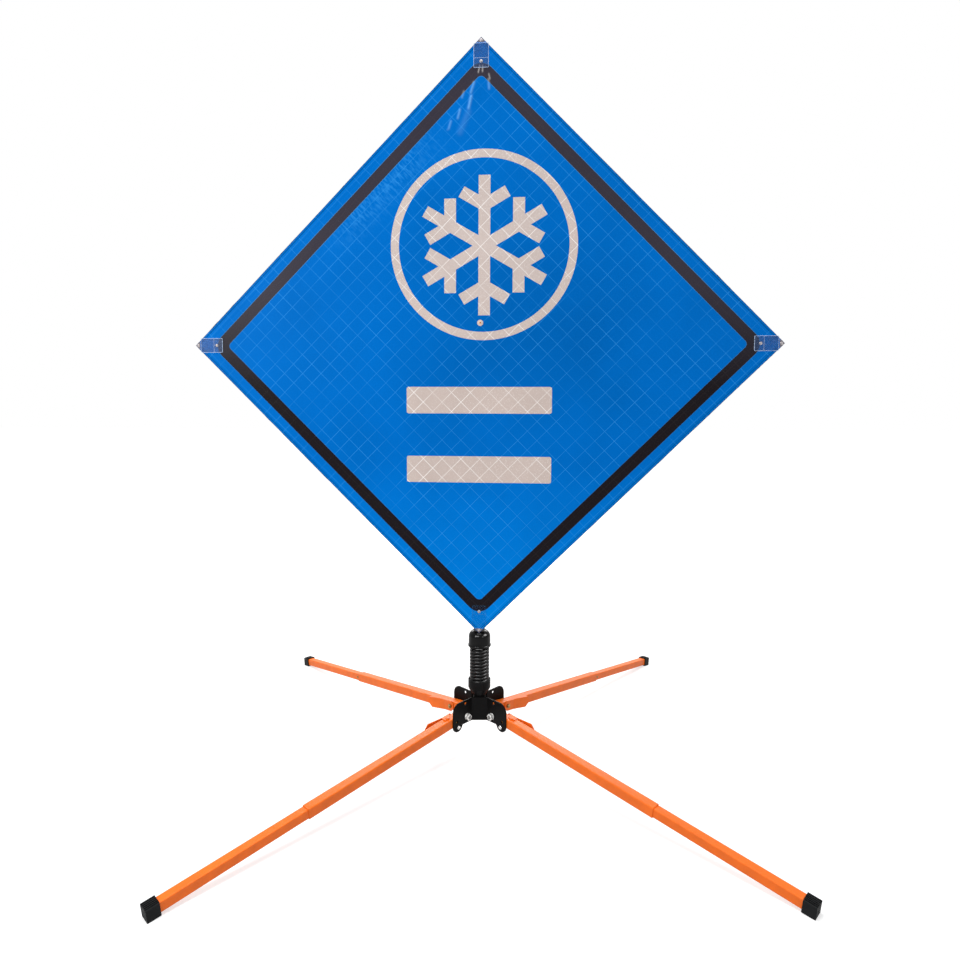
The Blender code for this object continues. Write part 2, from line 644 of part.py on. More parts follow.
def build_button(name, leg, hand):
    """Domed button on its leaf spring inside the inner tube."""
    inside = INNER_TUBE / 2 - INNER_WALL - FIT_GAP
    face = INNER_TUBE / 2 + BUTTON_PROUD
    at = (OUTER_END + BUTTON_OFFSET, 0, 0)
    leaf = box(
        (-0.006, inside - BUTTON_LEAF_THICK, -BUTTON_LEAF_WIDTH / 2),
        (BUTTON_LEAF, inside, BUTTON_LEAF_WIDTH / 2),
    )
    side = Matrix.Diagonal((1, hand, 1, 1))
    leaf.transform(side)
    if hand < 0:
        leaf.flip_normals()
    button = piece(name + "_snap_button", leaf, ZINC, leg, at, smooth=35)
    root = hand * (inside - BUTTON_LEAF_THICK / 2)
    shank = rod(BUTTON_RADIUS, (0, root, 0), (0, hand * (face - 0.0014), 0))
    shape = bmesh.new()
    shape.from_mesh(shank)
    outer = [f for f in shape.faces if abs(abs(f.normal.y) - 1) < 1e-3
             and abs(f.calc_center_median().y) > abs(root) + 1e-5]
    grown = bmesh.ops.extrude_face_region(shape, geom=outer)["geom"]
    rim = [v for v in grown if isinstance(v, bmesh.types.BMVert)]
    bmesh.ops.translate(shape, verts=rim, vec=(0, hand * 0.0014, 0))
    for vert in rim:
        vert.co.x *= 0.62
        vert.co.z *= 0.62
    bmesh.ops.delete(shape, geom=[f for f in outer if f.is_valid], context="FACES_ONLY")
    bmesh.ops.recalc_face_normals(shape, faces=shape.faces)
    shape.to_mesh(shank)
    shape.free()
    return combine(button, shank, "UNION")


def build_foot_cap(name, leg):
    """Square rubber cap with ribs along its top and a small flat to stand on."""
    half = FOOT_CAP / 2
    low = half - FOOT_RIB_DEPTH
    pitch = (FOOT_CAP - 0.004) / FOOT_RIBS
    outline = arc(-half + 0.002, -half + 0.002, 0.002, 180, 270, 2)
    outline += arc(half - 0.002, -half + 0.002, 0.002, 270, 360, 2)
    outline += arc(half - 0.0015, low - 0.0015, 0.0015, 0, 90, 2)
    for n in range(FOOT_RIBS):
        y = ((FOOT_RIBS - 1) / 2 - n) * pitch
        outline += [(y + pitch * 0.32, low), (y + pitch * 0.22, half)]
        outline += [(y - pitch * 0.22, half), (y - pitch * 0.32, low)]
    outline += arc(-half + 0.0015, low - 0.0015, 0.0015, 90, 180, 2)
    mesh = plate([outline], FOOT_CAP_LENGTH)
    centre = FOOT_REACH - FOOT_CAP_LENGTH / 2
    to_axes(mesh, (0, 1, 0), (0, 0, 1), (1, 0, 0), (centre, 0, 0))
    cap = piece(name + "_foot_cap", mesh, RUBBER, leg, smooth=35)
    bore = INNER_TUBE / 2 + FIT_GAP
    socket = plate([rounded(bore, bore, TUBE_CORNER - 0.0002)], 2 * FOOT_CAP_LENGTH)
    end = FOOT_REACH - FOOT_CAP_END
    to_axes(socket, (0, 1, 0), (0, 0, 1), (1, 0, 0), (end - FOOT_CAP_LENGTH, 0, 0))
    combine(cap, socket, "DIFFERENCE")
    ground = box((-0.05, -0.05, -0.05), (0.05, 0.05, 0.0))
    lowest = Vector((FOOT_REACH, 0, -half))
    turn = Matrix.Rotation(-LEG_SLOPE, 4, "Y")
    lift = turn @ Vector((0, 0, FOOT_FACET))
    ground.transform(Matrix.Translation(lowest + lift) @ turn)
    return combine(cap, ground, "DIFFERENCE")


def build_leg(name, x_side, y_side, stand):
    """One leg with everything on it; the lever sits on the side that faces along X."""
    leg = leg_axis(name, x_side, y_side, stand)
    hand = -x_side * y_side
    flip = 1 if y_side < 0 else -1
    build_pivot(name, leg, hand)
    build_stop(name, leg, hand)
    build_outer_tube(name, leg)
    build_lever(name, leg, hand, flip)
    build_lever_pin(name, leg, hand, flip)
    build_lock_pin(name, leg, hand)
    build_inner_tube(name, leg, hand)
    build_button(name, leg, hand)
    build_foot_cap(name, leg)


def spring_points():
    """The wire's centre line: straight ends, a bend at each, and even turns between."""
    bend = SPRING_BEND / COIL_RADIUS
    total = SPRING_TURNS * math.tau
    rise = SPRING_PITCH * SPRING_TURNS
    start = SPRING_BOTTOM + SPRING_END
    points = [(0.0, SPRING_BOTTOM), (0.0, SPRING_BOTTOM + WIRE)]
    for n in (1, 2):
        turn = math.radians(30 * n)
        points.append((bend * (1 - math.cos(turn)), start - SPRING_BEND * (1 - math.sin(turn))))
    count = round(SPRING_TURNS * SPRING_POINTS)
    points += [(bend + total * n / count, start + rise * n / count) for n in range(count + 1)]
    end = bend + total
    top = start + rise
    for n in (1, 2):
        turn = math.radians(30 * n)
        points.append((end + bend * math.sin(turn), top + SPRING_BEND * (1 - math.cos(turn))))
    points += [(end + bend, top + SPRING_BEND), (end + bend, SPRING_TOP)]
    return [
        (COIL_RADIUS * math.cos(t), COIL_RADIUS * math.sin(t), z) for t, z in points
    ]


def build_spring(stand):
    """Heavy coil spring, one unbroken wire."""
    points = spring_points()
    turn = SPRING_POINTS
    least = min(
        (Vector(a) - Vector(b)).length
        for n, a in enumerate(points)
        for b in points[n + turn - 3:]
    ) - WIRE
    print(f"spring: least gap to itself {least * 1000:.2f} mm")
    curve = bpy.data.curves.new("spring_wire", "CURVE")
    curve.dimensions = "3D"
    curve.bevel_depth = WIRE / 2
    curve.bevel_resolution = 1
    curve.use_fill_caps = True
    curve.twist_mode = "MINIMUM"
    spline = curve.splines.new("POLY")
    spline.points.add(len(points) - 1)
    spline.points.foreach_set("co", [c for p in points for c in (*p, 1.0)])
    guide = bpy.data.objects.new("spring_wire", curve)
    cutter_set.objects.link(guide)
    bpy.context.view_layer.update()
    ready = guide.evaluated_get(bpy.context.evaluated_depsgraph_get())
    mesh = bpy.data.meshes.new_from_object(ready)
    bpy.data.objects.remove(guide)
    shape = bmesh.new()
    shape.from_mesh(mesh)
    bmesh.ops.remove_doubles(shape, verts=shape.verts, dist=0.00001)
    bmesh.ops.recalc_face_normals(shape, faces=shape.faces)
    shape.to_mesh(mesh)
    shape.free()
    return piece("spring", mesh, SPRING_STEEL, stand, smooth=60)


def build_upper_cap(head):
    """Domed cap that the spring's upper end seats in."""
    inner = CUP_RADIUS - CUP_WALL
    shoulder = CAP_BOTTOM + CAP_SHOULDER
    dome = [
        (CAP_TOP_RADIUS + (CAP_RADIUS - CAP_TOP_RADIUS) * math.cos(math.radians(a)),
         shoulder + CAP_SHOULDER_RISE * math.sin(math.radians(a)))
        for a in (90, 74, 58, 43, 28, 14, 0)
    ]
    profile = [(0.0, CAP_TOP)] + dome + [
        (CAP_RADIUS, CAP_BOTTOM + CAP_LIP_HEIGHT + 0.001),
        (CAP_LIP_RADIUS, CAP_BOTTOM + CAP_LIP_HEIGHT),
        (CAP_LIP_RADIUS, CAP_BOTTOM + 0.001),
        (CAP_LIP_RADIUS - 0.001, CAP_BOTTOM),
        (inner, CAP_BOTTOM),
        (inner, CAP_SEAT),
        (SPIGOT_RADIUS, CAP_SEAT),
        (SPIGOT_RADIUS, CAP_SEAT - SPIGOT_HEIGHT + 0.002),
        (SPIGOT_RADIUS - 0.002, CAP_SEAT - SPIGOT_HEIGHT),
        (0.0, CAP_SEAT - SPIGOT_HEIGHT),
    ]
    return turned("upper_cap", profile, BLACK, head, (0, 0, -TILT_HEIGHT))


def build_rib_bracket(head):
    """Welded bracket: a shelf under the upright rib, a stem and a channel behind it."""
    base = CAP_TOP + FIT_GAP
    at = (0, 0, base - TILT_HEIGHT)
    back = CHANNEL_FRONT_Y
    half = SHELF_WIDTH / 2
    mesh = box((-half, UPRIGHT_FRONT_Y, 0), (half, STEM_BACK_Y, SHELF_THICK))
    bracket = piece("rib_bracket", mesh, BLACK, head, at)
    stem = box((-half, back, SHELF_THICK / 2), (half, STEM_BACK_Y, STEM_HEIGHT))
    combine(bracket, stem, "UNION")
    wide = CLIP_WIDTH / 2 + CHANNEL_GAP
    top = CHANNEL_START + CHANNEL_HEIGHT
    wall = wide + CHANNEL_THICK
    web = box((-wall, back, CHANNEL_START - 0.010), (wall, back + CHANNEL_THICK, top))
    combine(bracket, web, "UNION")
    for side in (1, -1):
        low, high = sorted((side * wide, side * wall))
        cheek = box((low, UPRIGHT_FRONT_Y, CHANNEL_START), (high, back + 0.001, top))
        combine(bracket, cheek, "UNION")
    boss_end = back + CHANNEL_THICK + SCREW_BOSS_LENGTH
    boss = rod(SCREW_BOSS_RADIUS, (0, back + 0.001, SCREW_RISE), (0, boss_end, SCREW_RISE), 20)
    combine(bracket, boss, "UNION")
    bore = rod(SCREW_RADIUS + FIT_GAP, (0, back - 0.01, SCREW_RISE), (0, 0.05, SCREW_RISE))
    return combine(bracket, bore, "DIFFERENCE")


def build_clamp_screw(head):
    """Thumb screw at the back of the channel that clamps the upright rib."""
    rise = CAP_TOP + FIT_GAP + SCREW_RISE - TILT_HEIGHT
    axis = empty("clamp_screw_axis", (0, 0, rise), None, head)
    tip = UPRIGHT_BACK_Y + FIT_GAP + CLIP_THICK + FIT_GAP
    boss = CHANNEL_FRONT_Y + CHANNEL_THICK + SCREW_BOSS_LENGTH
    start = boss + FIT_GAP
    mesh = rod(SCREW_RADIUS, (0, tip, 0), (0, start + SCREW_KNOB_LENGTH, 0))
    screw = piece("clamp_screw", mesh, ZINC, axis, smooth=35)
    knob = rod(SCREW_KNOB_RADIUS, (0, start, 0), (0, start + SCREW_KNOB_LENGTH, 0), 20)
    combine(screw, knob, "UNION")
    wing = box(
        (-SCREW_WING / 2, start + 0.003, -0.0035),
        (SCREW_WING / 2, start + SCREW_KNOB_LENGTH + 0.006, 0.0035),
    )
    combine(screw, wing, "UNION")


def fold_depth(x, z):
    """How far the stretched sheet stands forward: creases that run down from its top."""
    top = HALF_DIAGONAL - PLATE_END
    depth = 0.0
    for slant, width, share in ((0.50, 0.020, 1.0), (0.22, 0.016, 0.7), (-0.42, 0.022, 0.5)):
        fall = top - z
        if fall <= 0 or abs(x) + abs(z) > HALF_DIAGONAL * 0.97:
            continue
        line = -slant * fall
        spread = width + 0.10 * fall
        fade = math.exp(-fall / 0.30) * min(1.0, fall / 0.05)
        depth += share * fade * math.exp(-(((x - line) / spread) ** 2))
    return FOLD_HEIGHT * min(depth, 1.0)


def build_sheet(sign):
    """Thin square sheet on its corner, with the creases that the ribs pull into it."""
    shape = bmesh.new()
    bmesh.ops.create_grid(
        shape, x_segments=SHEET_CELLS, y_segments=SHEET_CELLS, size=SIGN_SIDE / 2
    )
    mesh = bpy.data.meshes.new("sheet")
    shape.to_mesh(mesh)
    shape.free()
    mesh.transform(Matrix.Rotation(math.pi / 4, 4, "Z"))
    mesh.transform(Matrix.Rotation(math.pi / 2, 4, "X"))
    for vert in mesh.vertices:
        vert.co.y = SHEET_FRONT_Y - fold_depth(vert.co.x, vert.co.z)
    sheet = piece("sheet", mesh, BLUE, sign, smooth=60)
    skin = sheet.modifiers.new("skin", "SOLIDIFY")
    skin.thickness = SHEET_THICK
    skin.offset = -1.0
    hole = rod(
        KEEPER_RADIUS + FIT_GAP, (0, SHEET_FRONT_Y - 0.02, KEEPER_RISE),
        (0, SHEET_FRONT_Y + 0.02, KEEPER_RISE), 12,
    )
    return combine(sheet, hole, "DIFFERENCE")


KEEPER_RADIUS = 0.0024


def build_ribs(sign):
    """Upright and cross ribs of flat fibreglass bar, pinned where they cross."""
    half = RIB_WIDTH / 2
    tip = HALF_DIAGONAL - RIB_TIP_GAP
    foot = CAP_TOP + FIT_GAP + SHELF_THICK + FIT_GAP - SIGN_CENTRE
    mesh = box((-half, UPRIGHT_FRONT_Y, foot), (half, UPRIGHT_BACK_Y, tip))
    upright = piece("vertical_rib", mesh, FIBREGLASS, sign)
    hole = rod(CROSS_PIN + FIT_GAP, (0, -0.05, 0), (0, 0.05, 0))
    combine(upright, hole, "DIFFERENCE")
    keeper = rod(
        KEEPER_RADIUS + FIT_GAP, (0, -0.05, KEEPER_RISE), (0, 0.05, KEEPER_RISE), 12
    )
    combine(upright, keeper, "DIFFERENCE")
    axis = empty("rib_cross_axis", (0, 0, 0), None, sign)
    mesh = box((-tip, CROSS_FRONT_Y, -half), (tip, CROSS_BACK_Y, half))
    cross = piece("horizontal_rib", mesh, FIBREGLASS, axis)
    hole = rod(CROSS_PIN + FIT_GAP, (0, -0.05, 0), (0, 0.05, 0))
    combine(cross, hole, "DIFFERENCE")


CROSS_PIN = 0.004


def build_rivets(sign):
    """The ribs' crossing pin, and the keeper rivet that holds sheet and rib together."""
    back = CROSS_BACK_Y + FIT_GAP
    mesh = rod(CROSS_PIN, (0, UPRIGHT_FRONT_Y, 0), (0, back + 0.0025, 0))
    pin = piece("cross_rivet", mesh, ZINC, sign, smooth=35)
    combine(pin, rod(2 * CROSS_PIN, (0, back, 0), (0, back + 0.0025, 0)), "UNION")
    at = (0, 0, KEEPER_RISE)
    front = SHEET_FRONT_Y - fold_depth(0, KEEPER_RISE) - FIT_GAP
    mesh = rod(KEEPER_RADIUS, (0, front - 0.0016, 0), (0, UPRIGHT_BACK_Y, 0), 12)
    keeper = piece("keeper_rivet", mesh, ZINC, sign, at, smooth=35)
    combine(keeper, rod(2 * KEEPER_RADIUS, (0, front - 0.0016, 0), (0, front, 0)), "UNION")


def corner_outline(start, end):
    """A corner piece's outline: start and end from the sheet's tip, kept inside it."""
    half = CLIP_WIDTH / 2
    inset = 0.001
    near = HALF_DIAGONAL - start
    far = HALF_DIAGONAL - end
    narrow = min(half, start - inset)
    wide = HALF_DIAGONAL - half - inset
    return [(far, -half), (wide, -half), (near, -narrow), (near, narrow), (wide, half), (far, half)]


def build_corner(name, sign, angle, rib_back, tip_block=True):
    """Clear plate on the sheet's face, and the clip behind it that holds a rib's end."""
    turn = Matrix.Rotation(-angle, 4, "Y")
    front = SHEET_FRONT_Y - FIT_GAP
    mesh = plate([corner_outline(PLATE_START, PLATE_END)], PLATE_THICK)
    to_axes(mesh, (1, 0, 0), (0, 0, 1), (0, -1, 0), (0, front - PLATE_THICK / 2, 0))
    mesh.transform(turn)
    piece(name + "_corner_plate", mesh, CLEAR, sign)
    strap = rib_back + FIT_GAP
    outline = corner_outline(CLIP_END_GAP, CLIP_REACH)
    mesh = plate([outline], CLIP_THICK)
    to_axes(mesh, (1, 0, 0), (0, 0, 1), (0, -1, 0), (0, strap + CLIP_THICK / 2, 0))
    mesh.transform(turn)
    clip = piece(name + "_rib_clip", mesh, GREY, sign)
    low = SHEET_BACK_Y + FIT_GAP
    high = strap + CLIP_THICK / 2
    near = HALF_DIAGONAL - CLIP_END_GAP
    slim = CLIP_END_GAP - 0.001
    walls = [box((near - CLIP_BLOCK, low, -slim), (near, high, slim))]
    if not tip_block:
        inner = RIB_WIDTH / 2 + FIT_GAP
        outer = inner + CLIP_THICK
        start, end = HALF_DIAGONAL - CLIP_REACH, HALF_DIAGONAL - outer - 0.004
        walls = [box((start, low, inner), (end, high, outer))]
        walls += [box((start, low, -outer), (end, high, -inner))]
    for wall in walls:
        wall.transform(turn)
        combine(clip, wall, "UNION")


def build_sign():
    """Everything above the spring, turned a little about the mast."""
    head = empty("mast_tilt", (0, 0, TILT_HEIGHT), Matrix.Rotation(SIGN_TURN, 4, "Z"))
    build_upper_cap(head)
    build_rib_bracket(head)
    build_clamp_screw(head)
    sign = empty("sign_centre", (0, 0, SIGN_CENTRE - TILT_HEIGHT), None, head)
    build_sheet(sign)
    build_ribs(sign)
    build_rivets(sign)
    build_corner("right", sign, 0.0, CROSS_BACK_Y)
    build_corner("top", sign, math.pi / 2, UPRIGHT_BACK_Y)
    build_corner("left", sign, math.pi, CROSS_BACK_Y)
    build_corner("bottom", sign, -math.pi / 2, UPRIGHT_BACK_Y, tip_block=False)


stand_axis = empty("stand", (0, 0, 0))
build_hub(stand_axis)
build_bracket("rear_bracket", stand_axis, 0.0)
build_bracket("front_bracket", stand_axis, math.pi)
for leg_name, x_side, y_side in (
    ("front_left", -1, -1), ("front_right", 1, -1), ("rear_left", -1, 1), ("rear_right", 1, 1)
):
    build_leg(leg_name, x_side, y_side, stand_axis)
build_spring(stand_axis)
build_sign()
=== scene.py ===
import json
import math

import bmesh
import bpy
import numpy as np
from mathutils import Matrix, Vector, geometry, noise


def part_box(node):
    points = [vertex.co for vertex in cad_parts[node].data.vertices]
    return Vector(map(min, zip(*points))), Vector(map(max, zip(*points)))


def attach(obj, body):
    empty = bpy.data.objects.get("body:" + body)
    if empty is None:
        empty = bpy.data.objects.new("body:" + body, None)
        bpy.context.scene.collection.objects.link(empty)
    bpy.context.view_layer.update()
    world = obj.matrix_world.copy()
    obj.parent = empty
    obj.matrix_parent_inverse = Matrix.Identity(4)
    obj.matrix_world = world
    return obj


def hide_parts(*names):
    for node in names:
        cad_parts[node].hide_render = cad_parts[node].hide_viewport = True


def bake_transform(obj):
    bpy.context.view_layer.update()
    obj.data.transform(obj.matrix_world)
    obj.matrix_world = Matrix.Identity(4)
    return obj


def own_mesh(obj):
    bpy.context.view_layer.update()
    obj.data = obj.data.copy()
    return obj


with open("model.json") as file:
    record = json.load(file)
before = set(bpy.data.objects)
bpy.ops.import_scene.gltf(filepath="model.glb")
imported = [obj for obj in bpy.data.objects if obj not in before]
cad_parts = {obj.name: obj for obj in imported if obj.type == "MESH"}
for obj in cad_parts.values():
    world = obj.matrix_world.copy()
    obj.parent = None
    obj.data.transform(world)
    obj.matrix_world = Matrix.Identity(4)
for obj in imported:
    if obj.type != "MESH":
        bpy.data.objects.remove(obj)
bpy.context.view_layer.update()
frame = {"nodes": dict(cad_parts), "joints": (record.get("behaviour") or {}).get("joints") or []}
joints = {joint["name"]: joint for joint in frame["joints"]}


# The stand's bent plates are laser cut from 3 mm mild steel, folded, and welded to the front
# and back of the column. They are powder coated black, a smooth coat with a fine orange peel
# that is darker and glossier where it has been handled.
class Finish:
    """A material under way. Each call adds a node and gives its output, or feeds the shader."""

    def __init__(self, name):
        self.material = bpy.data.materials.new(name)
        self.material.use_nodes = True
        self.nodes = self.material.node_tree.nodes
        self.shader = self.nodes["Principled BSDF"]
        self.place = self.nodes.new("ShaderNodeTexCoord").outputs["Object"]

    def feed(self, socket, value):
        if isinstance(value, bpy.types.NodeSocket):
            self.material.node_tree.links.new(value, socket)
        else:
            socket.default_value = (*value, 1.0) if socket.type == "RGBA" else value

    def give(self, inputs):
        for name, value in inputs.items():
            self.feed(self.shader.inputs[name], value)

    def node(self, kind, output, inputs, **settings):
        node = self.nodes.new("ShaderNode" + kind)
        for name, value in settings.items():
            setattr(node, name, value)
        for name, value in inputs.items():
            self.feed(node.inputs[name], value)
        return node.outputs[output]

    def maths(self, operation, *values):
        return self.node("Math", 0, dict(enumerate(values)), operation=operation)

    def axis(self, vector, name):
        return self.node("SeparateXYZ", name, {"Vector": vector})

    def blended(self, share, a, b):
        return self.node("Mix", "Result", {"Factor": share, "A": a, "B": b}, data_type="RGBA")

    def noise(self, scale, detail=2.0, at=None):
        at = self.place if at is None else at
        return self.node("TexNoise", "Fac", {"Vector": at, "Scale": scale, "Detail": detail})

    def ranged(self, value, to_low, to_high, from_low=0.0, from_high=1.0, **settings):
        ends = {"From Min": from_low, "From Max": from_high, "To Min": to_low, "To Max": to_high}
        return self.node("MapRange", "Result", {"Value": value, **ends}, **settings)

    def two_tone(self, value, low_at, low, high_at, high):
        ramp = self.nodes.new("ShaderNodeValToRGB")
        for stop, at, colour in zip(ramp.color_ramp.elements, (low_at, high_at), (low, high)):
            stop.position = at
            stop.color = (*colour, 1.0)
        self.feed(ramp.inputs["Fac"], value)
        return ramp.outputs["Color"]

    def bumped(self, height, strength, depth, over=None):
        inputs = {"Height": height, "Strength": strength, "Distance": depth}
        if over is not None:
            inputs["Normal"] = over
        return self.node("Bump", "Normal", inputs)


def powder_coat(name, colour, gloss, shine, peel=0.2):
    coat = Finish(name)
    cloud = coat.noise(35.0, 6.0)
    dark, light = [c * 0.90 for c in colour], [min(1.0, c * 1.05) for c in colour]
    coat.give({
        "Base Color": coat.two_tone(cloud, 0.3, dark, 0.7, light),
        "Roughness": coat.ranged(cloud, gloss - 0.06, gloss + 0.08),
        "Specular IOR Level": shine,
        "Normal": coat.bumped(coat.noise(900.0), peel, 0.0002),
    })
    return coat.material


def coat_nodes(finish, *names):
    for name in names:
        for slot in frame["nodes"][name].material_slots:
            slot.material = finish


black_coat = powder_coat("black_powder_coat", (0.0052, 0.0050, 0.0052), 0.36, 0.05)
coat_nodes(black_coat, "front_bracket", "rear_bracket")


# The column is square tube with a cup turned from thick tube welded on its top through a
# tapered neck. The spring stands in the cup on a short spigot.
def finished(name, shape, finish, body, place=Matrix.Identity(4), smooth=40):
    """Makes a piece of a bmesh, smooth up to that many degrees, and lets it ride on its body."""
    mesh = bpy.data.meshes.new(name)
    shape.to_mesh(mesh)
    shape.free()
    mesh.materials.append(finish)
    mesh.shade_smooth()
    mesh.set_sharp_from_angle(angle=math.radians(smooth))
    part = bpy.data.objects.new(name, mesh)
    part.matrix_world = place
    bpy.context.collection.objects.link(part)
    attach(part, body)
    return part


def lathe(name, profile, finish, body, place=Matrix.Identity(4), steps=72, smooth=40):
    """Turns (radius, height) points about Z into a closed solid."""
    shape = bmesh.new()
    verts = [shape.verts.new((r, 0.0, z)) for r, z in profile]
    edges = [shape.edges.new(pair) for pair in zip(verts, verts[1:])]
    if profile[0][0] > 0:
        edges.append(shape.edges.new((verts[-1], verts[0])))
    bmesh.ops.spin(
        shape, geom=verts + edges, cent=(0, 0, 0), axis=(0, 0, 1), angle=math.tau,
        steps=steps, use_merge=True, use_duplicate=False,
    )
    bmesh.ops.remove_doubles(shape, verts=shape.verts, dist=1e-6)
    bmesh.ops.recalc_face_normals(shape, faces=shape.faces)
    return finished(name, shape, finish, body, place, smooth)


def rounded_square(half_x, half_y, radius, steps=6):
    points = []
    for n, (sx, sy) in enumerate(((1, 1), (-1, 1), (-1, -1), (1, -1))):
        for k in range(steps + 1):
            turn = math.pi / 2 * (n + k / steps)
            x = sx * (half_x - radius) + radius * math.cos(turn)
            y = sy * (half_y - radius) + radius * math.sin(turn)
            points.append((x, y))
    return points


def walled(shape, rings):
    """Joins each ring of vertices to the next with a wall, and gives the walls' faces."""
    faces = []
    for below, above in zip(rings, rings[1:]):
        for n in range(len(below)):
            m = (n + 1) % len(below)
            faces.append(shape.faces.new((below[n], below[m], above[m], above[n])))
    return faces


def prism(outline, low, high, edge=0.0):
    """Draws a convex outline in XY up from low to high, with both ends chamfered."""
    shape = bmesh.new()
    levels = [(low, 1.0), (high, 1.0)]
    if edge:
        small = 1 - edge / max(max(abs(x), abs(y)) for x, y in outline)
        levels = [(low, small), (low + edge, 1.0), (high - edge, 1.0), (high, small)]
    rings = [[shape.verts.new((x * s, y * s, z)) for x, y in outline] for z, s in levels]
    walled(shape, rings)
    shape.faces.new(list(reversed(rings[0])))
    shape.faces.new(rings[-1])
    bmesh.ops.recalc_face_normals(shape, faces=shape.faces)
    return shape


hub_low, hub_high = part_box("hub")
rim = hub_high.z
cup_radius, cup_bore, neck_radius = 0.034, 0.0312, 0.0188
spigot_radius, spigot_rise = 0.017, 0.016
cup_seat, column_top = rim - 0.0242, rim - 0.0514
hub_profile = [
    (0.0, cup_seat + spigot_rise), (spigot_radius - 0.0030, cup_seat + spigot_rise),
    (spigot_radius - 0.0008, cup_seat + spigot_rise - 0.0008),
    (spigot_radius, cup_seat + spigot_rise - 0.0025), (spigot_radius, cup_seat),
    (cup_bore, cup_seat), (cup_bore, rim - 0.0008), (cup_bore + 0.0006, rim),
    (cup_radius - 0.0010, rim), (cup_radius - 0.0003, rim - 0.0004), (cup_radius, rim - 0.0011),
    (cup_radius, rim - 0.0239), (cup_radius - 0.0003, rim - 0.0256),
    (cup_radius - 0.0012, rim - 0.0274), (neck_radius + 0.0042, column_top + 0.0070),
    (neck_radius + 0.0022, column_top + 0.0048), (neck_radius + 0.0004, column_top + 0.0032),
    (neck_radius, column_top + 0.0018), (neck_radius, column_top - 0.004),
    (0.0, column_top - 0.004),
]
hub_cup = lathe("hub_cup", hub_profile, black_coat, "stand")
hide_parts("hub")

column_half, column_wall, column_corner, skirt_rise = 0.0192, 0.003, 0.003, 0.030
column_square = rounded_square(column_half, column_half, column_corner)
column = prism(column_square, hub_low.z + skirt_rise, column_top, 0.0006)
finished("hub_column", column, black_coat, "stand")

# Below the solid drawn for the upper column, the tube is open, and its wall is seen.
skirt = bmesh.new()
bore_half, skirt_top = column_half - column_wall, hub_low.z + skirt_rise + 0.0002
walls = []
for half, level in (
    (column_half, skirt_top), (column_half, hub_low.z + 0.0005), (column_half - 0.0005, hub_low.z),
    (bore_half + 0.0004, hub_low.z), (bore_half, hub_low.z + 0.0004), (bore_half, skirt_top),
):
    radius = max(0.0012, column_corner - (column_half - half))
    walls.append([skirt.verts.new((x, y, level)) for x, y in rounded_square(half, half, radius)])
walled(skirt, walls + walls[:1])
bmesh.ops.recalc_face_normals(skirt, faces=skirt.faces)
finished("hub_column_skirt", skirt, black_coat, "stand")


# Each leg turns on a shoulder bolt with a flanged nut outside the wing, and comes to rest on
# a stop rivet in the lobe below. They are steel, plated with zinc that is a little cloudy,
# bright on the bolt's head and the rivet, satin on the nut and dull on the thread.
def plated_steel(name, dark, bright, gloss):
    plate = Finish(name)
    cloud = plate.noise(230.0, 7.0)
    plate.give({
        "Metallic": 1.0,
        "Base Color": plate.two_tone(cloud, 0.38, dark, 0.60, bright),
        "Roughness": plate.ranged(cloud, gloss - 0.08, gloss + 0.12),
    })
    return plate.material


bright_zinc = plated_steel("bright_zinc", (0.34, 0.34, 0.33), (0.84, 0.83, 0.80), 0.22)
satin_zinc = plated_steel("satin_zinc", (0.46, 0.46, 0.45), (0.90, 0.89, 0.87), 0.52)
dull_zinc = plated_steel("dull_zinc", (0.10, 0.10, 0.10), (0.30, 0.30, 0.29), 0.34)
corners = ("front_left", "front_right", "rear_left", "rear_right")


def leg_frame(corner):
    """The leg's axes at its pivot, X out along it and Z up, and the side of its lever."""
    pivot = joints[corner + "_leg_fold"]
    along = -Vector(joints[corner + "_leg_slide"]["axis"])
    level = -Vector(pivot["axis"])
    place = Matrix((along, level, along.cross(level))).transposed().to_4x4()
    place.translation = Vector(pivot["pos_m"])
    return place, round(level.dot(Vector(joints[corner + "_lock_draw"]["axis"])))


def hexagon(across):
    reach = across / math.sqrt(3)
    return [
        (reach * math.cos(math.tau * n / 6), reach * math.sin(math.tau * n / 6))
        for n in range(6)
    ]


wing_out, flange_top, nut_end, bolt_end = 0.0178, 0.0202, 0.0300, 0.0320
nut_across, head_across, head_foot, head_top = 0.0166, 0.0180, -0.0192, -0.0143
bolt_radius, thread_root, thread_pitch, thread_turns = 0.0059, 0.0054, 0.0010, 4
stop_along, stop_drop = 0.0374, 0.0182
nut_flange = [
    (0.0063, flange_top + 0.0012), (0.0084, flange_top + 0.0012), (0.0090, flange_top + 0.0002),
    (0.0095, wing_out + 0.0010), (0.0096, wing_out + 0.0004), (0.0094, wing_out),
    (0.0063, wing_out),
]
bolt_shank = [(0.0, bolt_end), (0.0048, bolt_end)]
for turn in range(thread_turns):
    root = bolt_end - 0.0006 - turn * thread_pitch
    bolt_shank += [(thread_root, root), (bolt_radius, root - thread_pitch / 2)]
bolt_shank += [(bolt_radius, -0.0160), (0.0, -0.0160)]
stop_shank = [
    (0.0, 0.0212), (0.0030, 0.0211), (0.0046, 0.0206), (0.0055, 0.0197), (0.0058, 0.0186),
    (0.0057, 0.0178), (0.0040, 0.0178), (0.0040, 0.0048), (0.0034, 0.0042), (0.0, 0.0042),
]
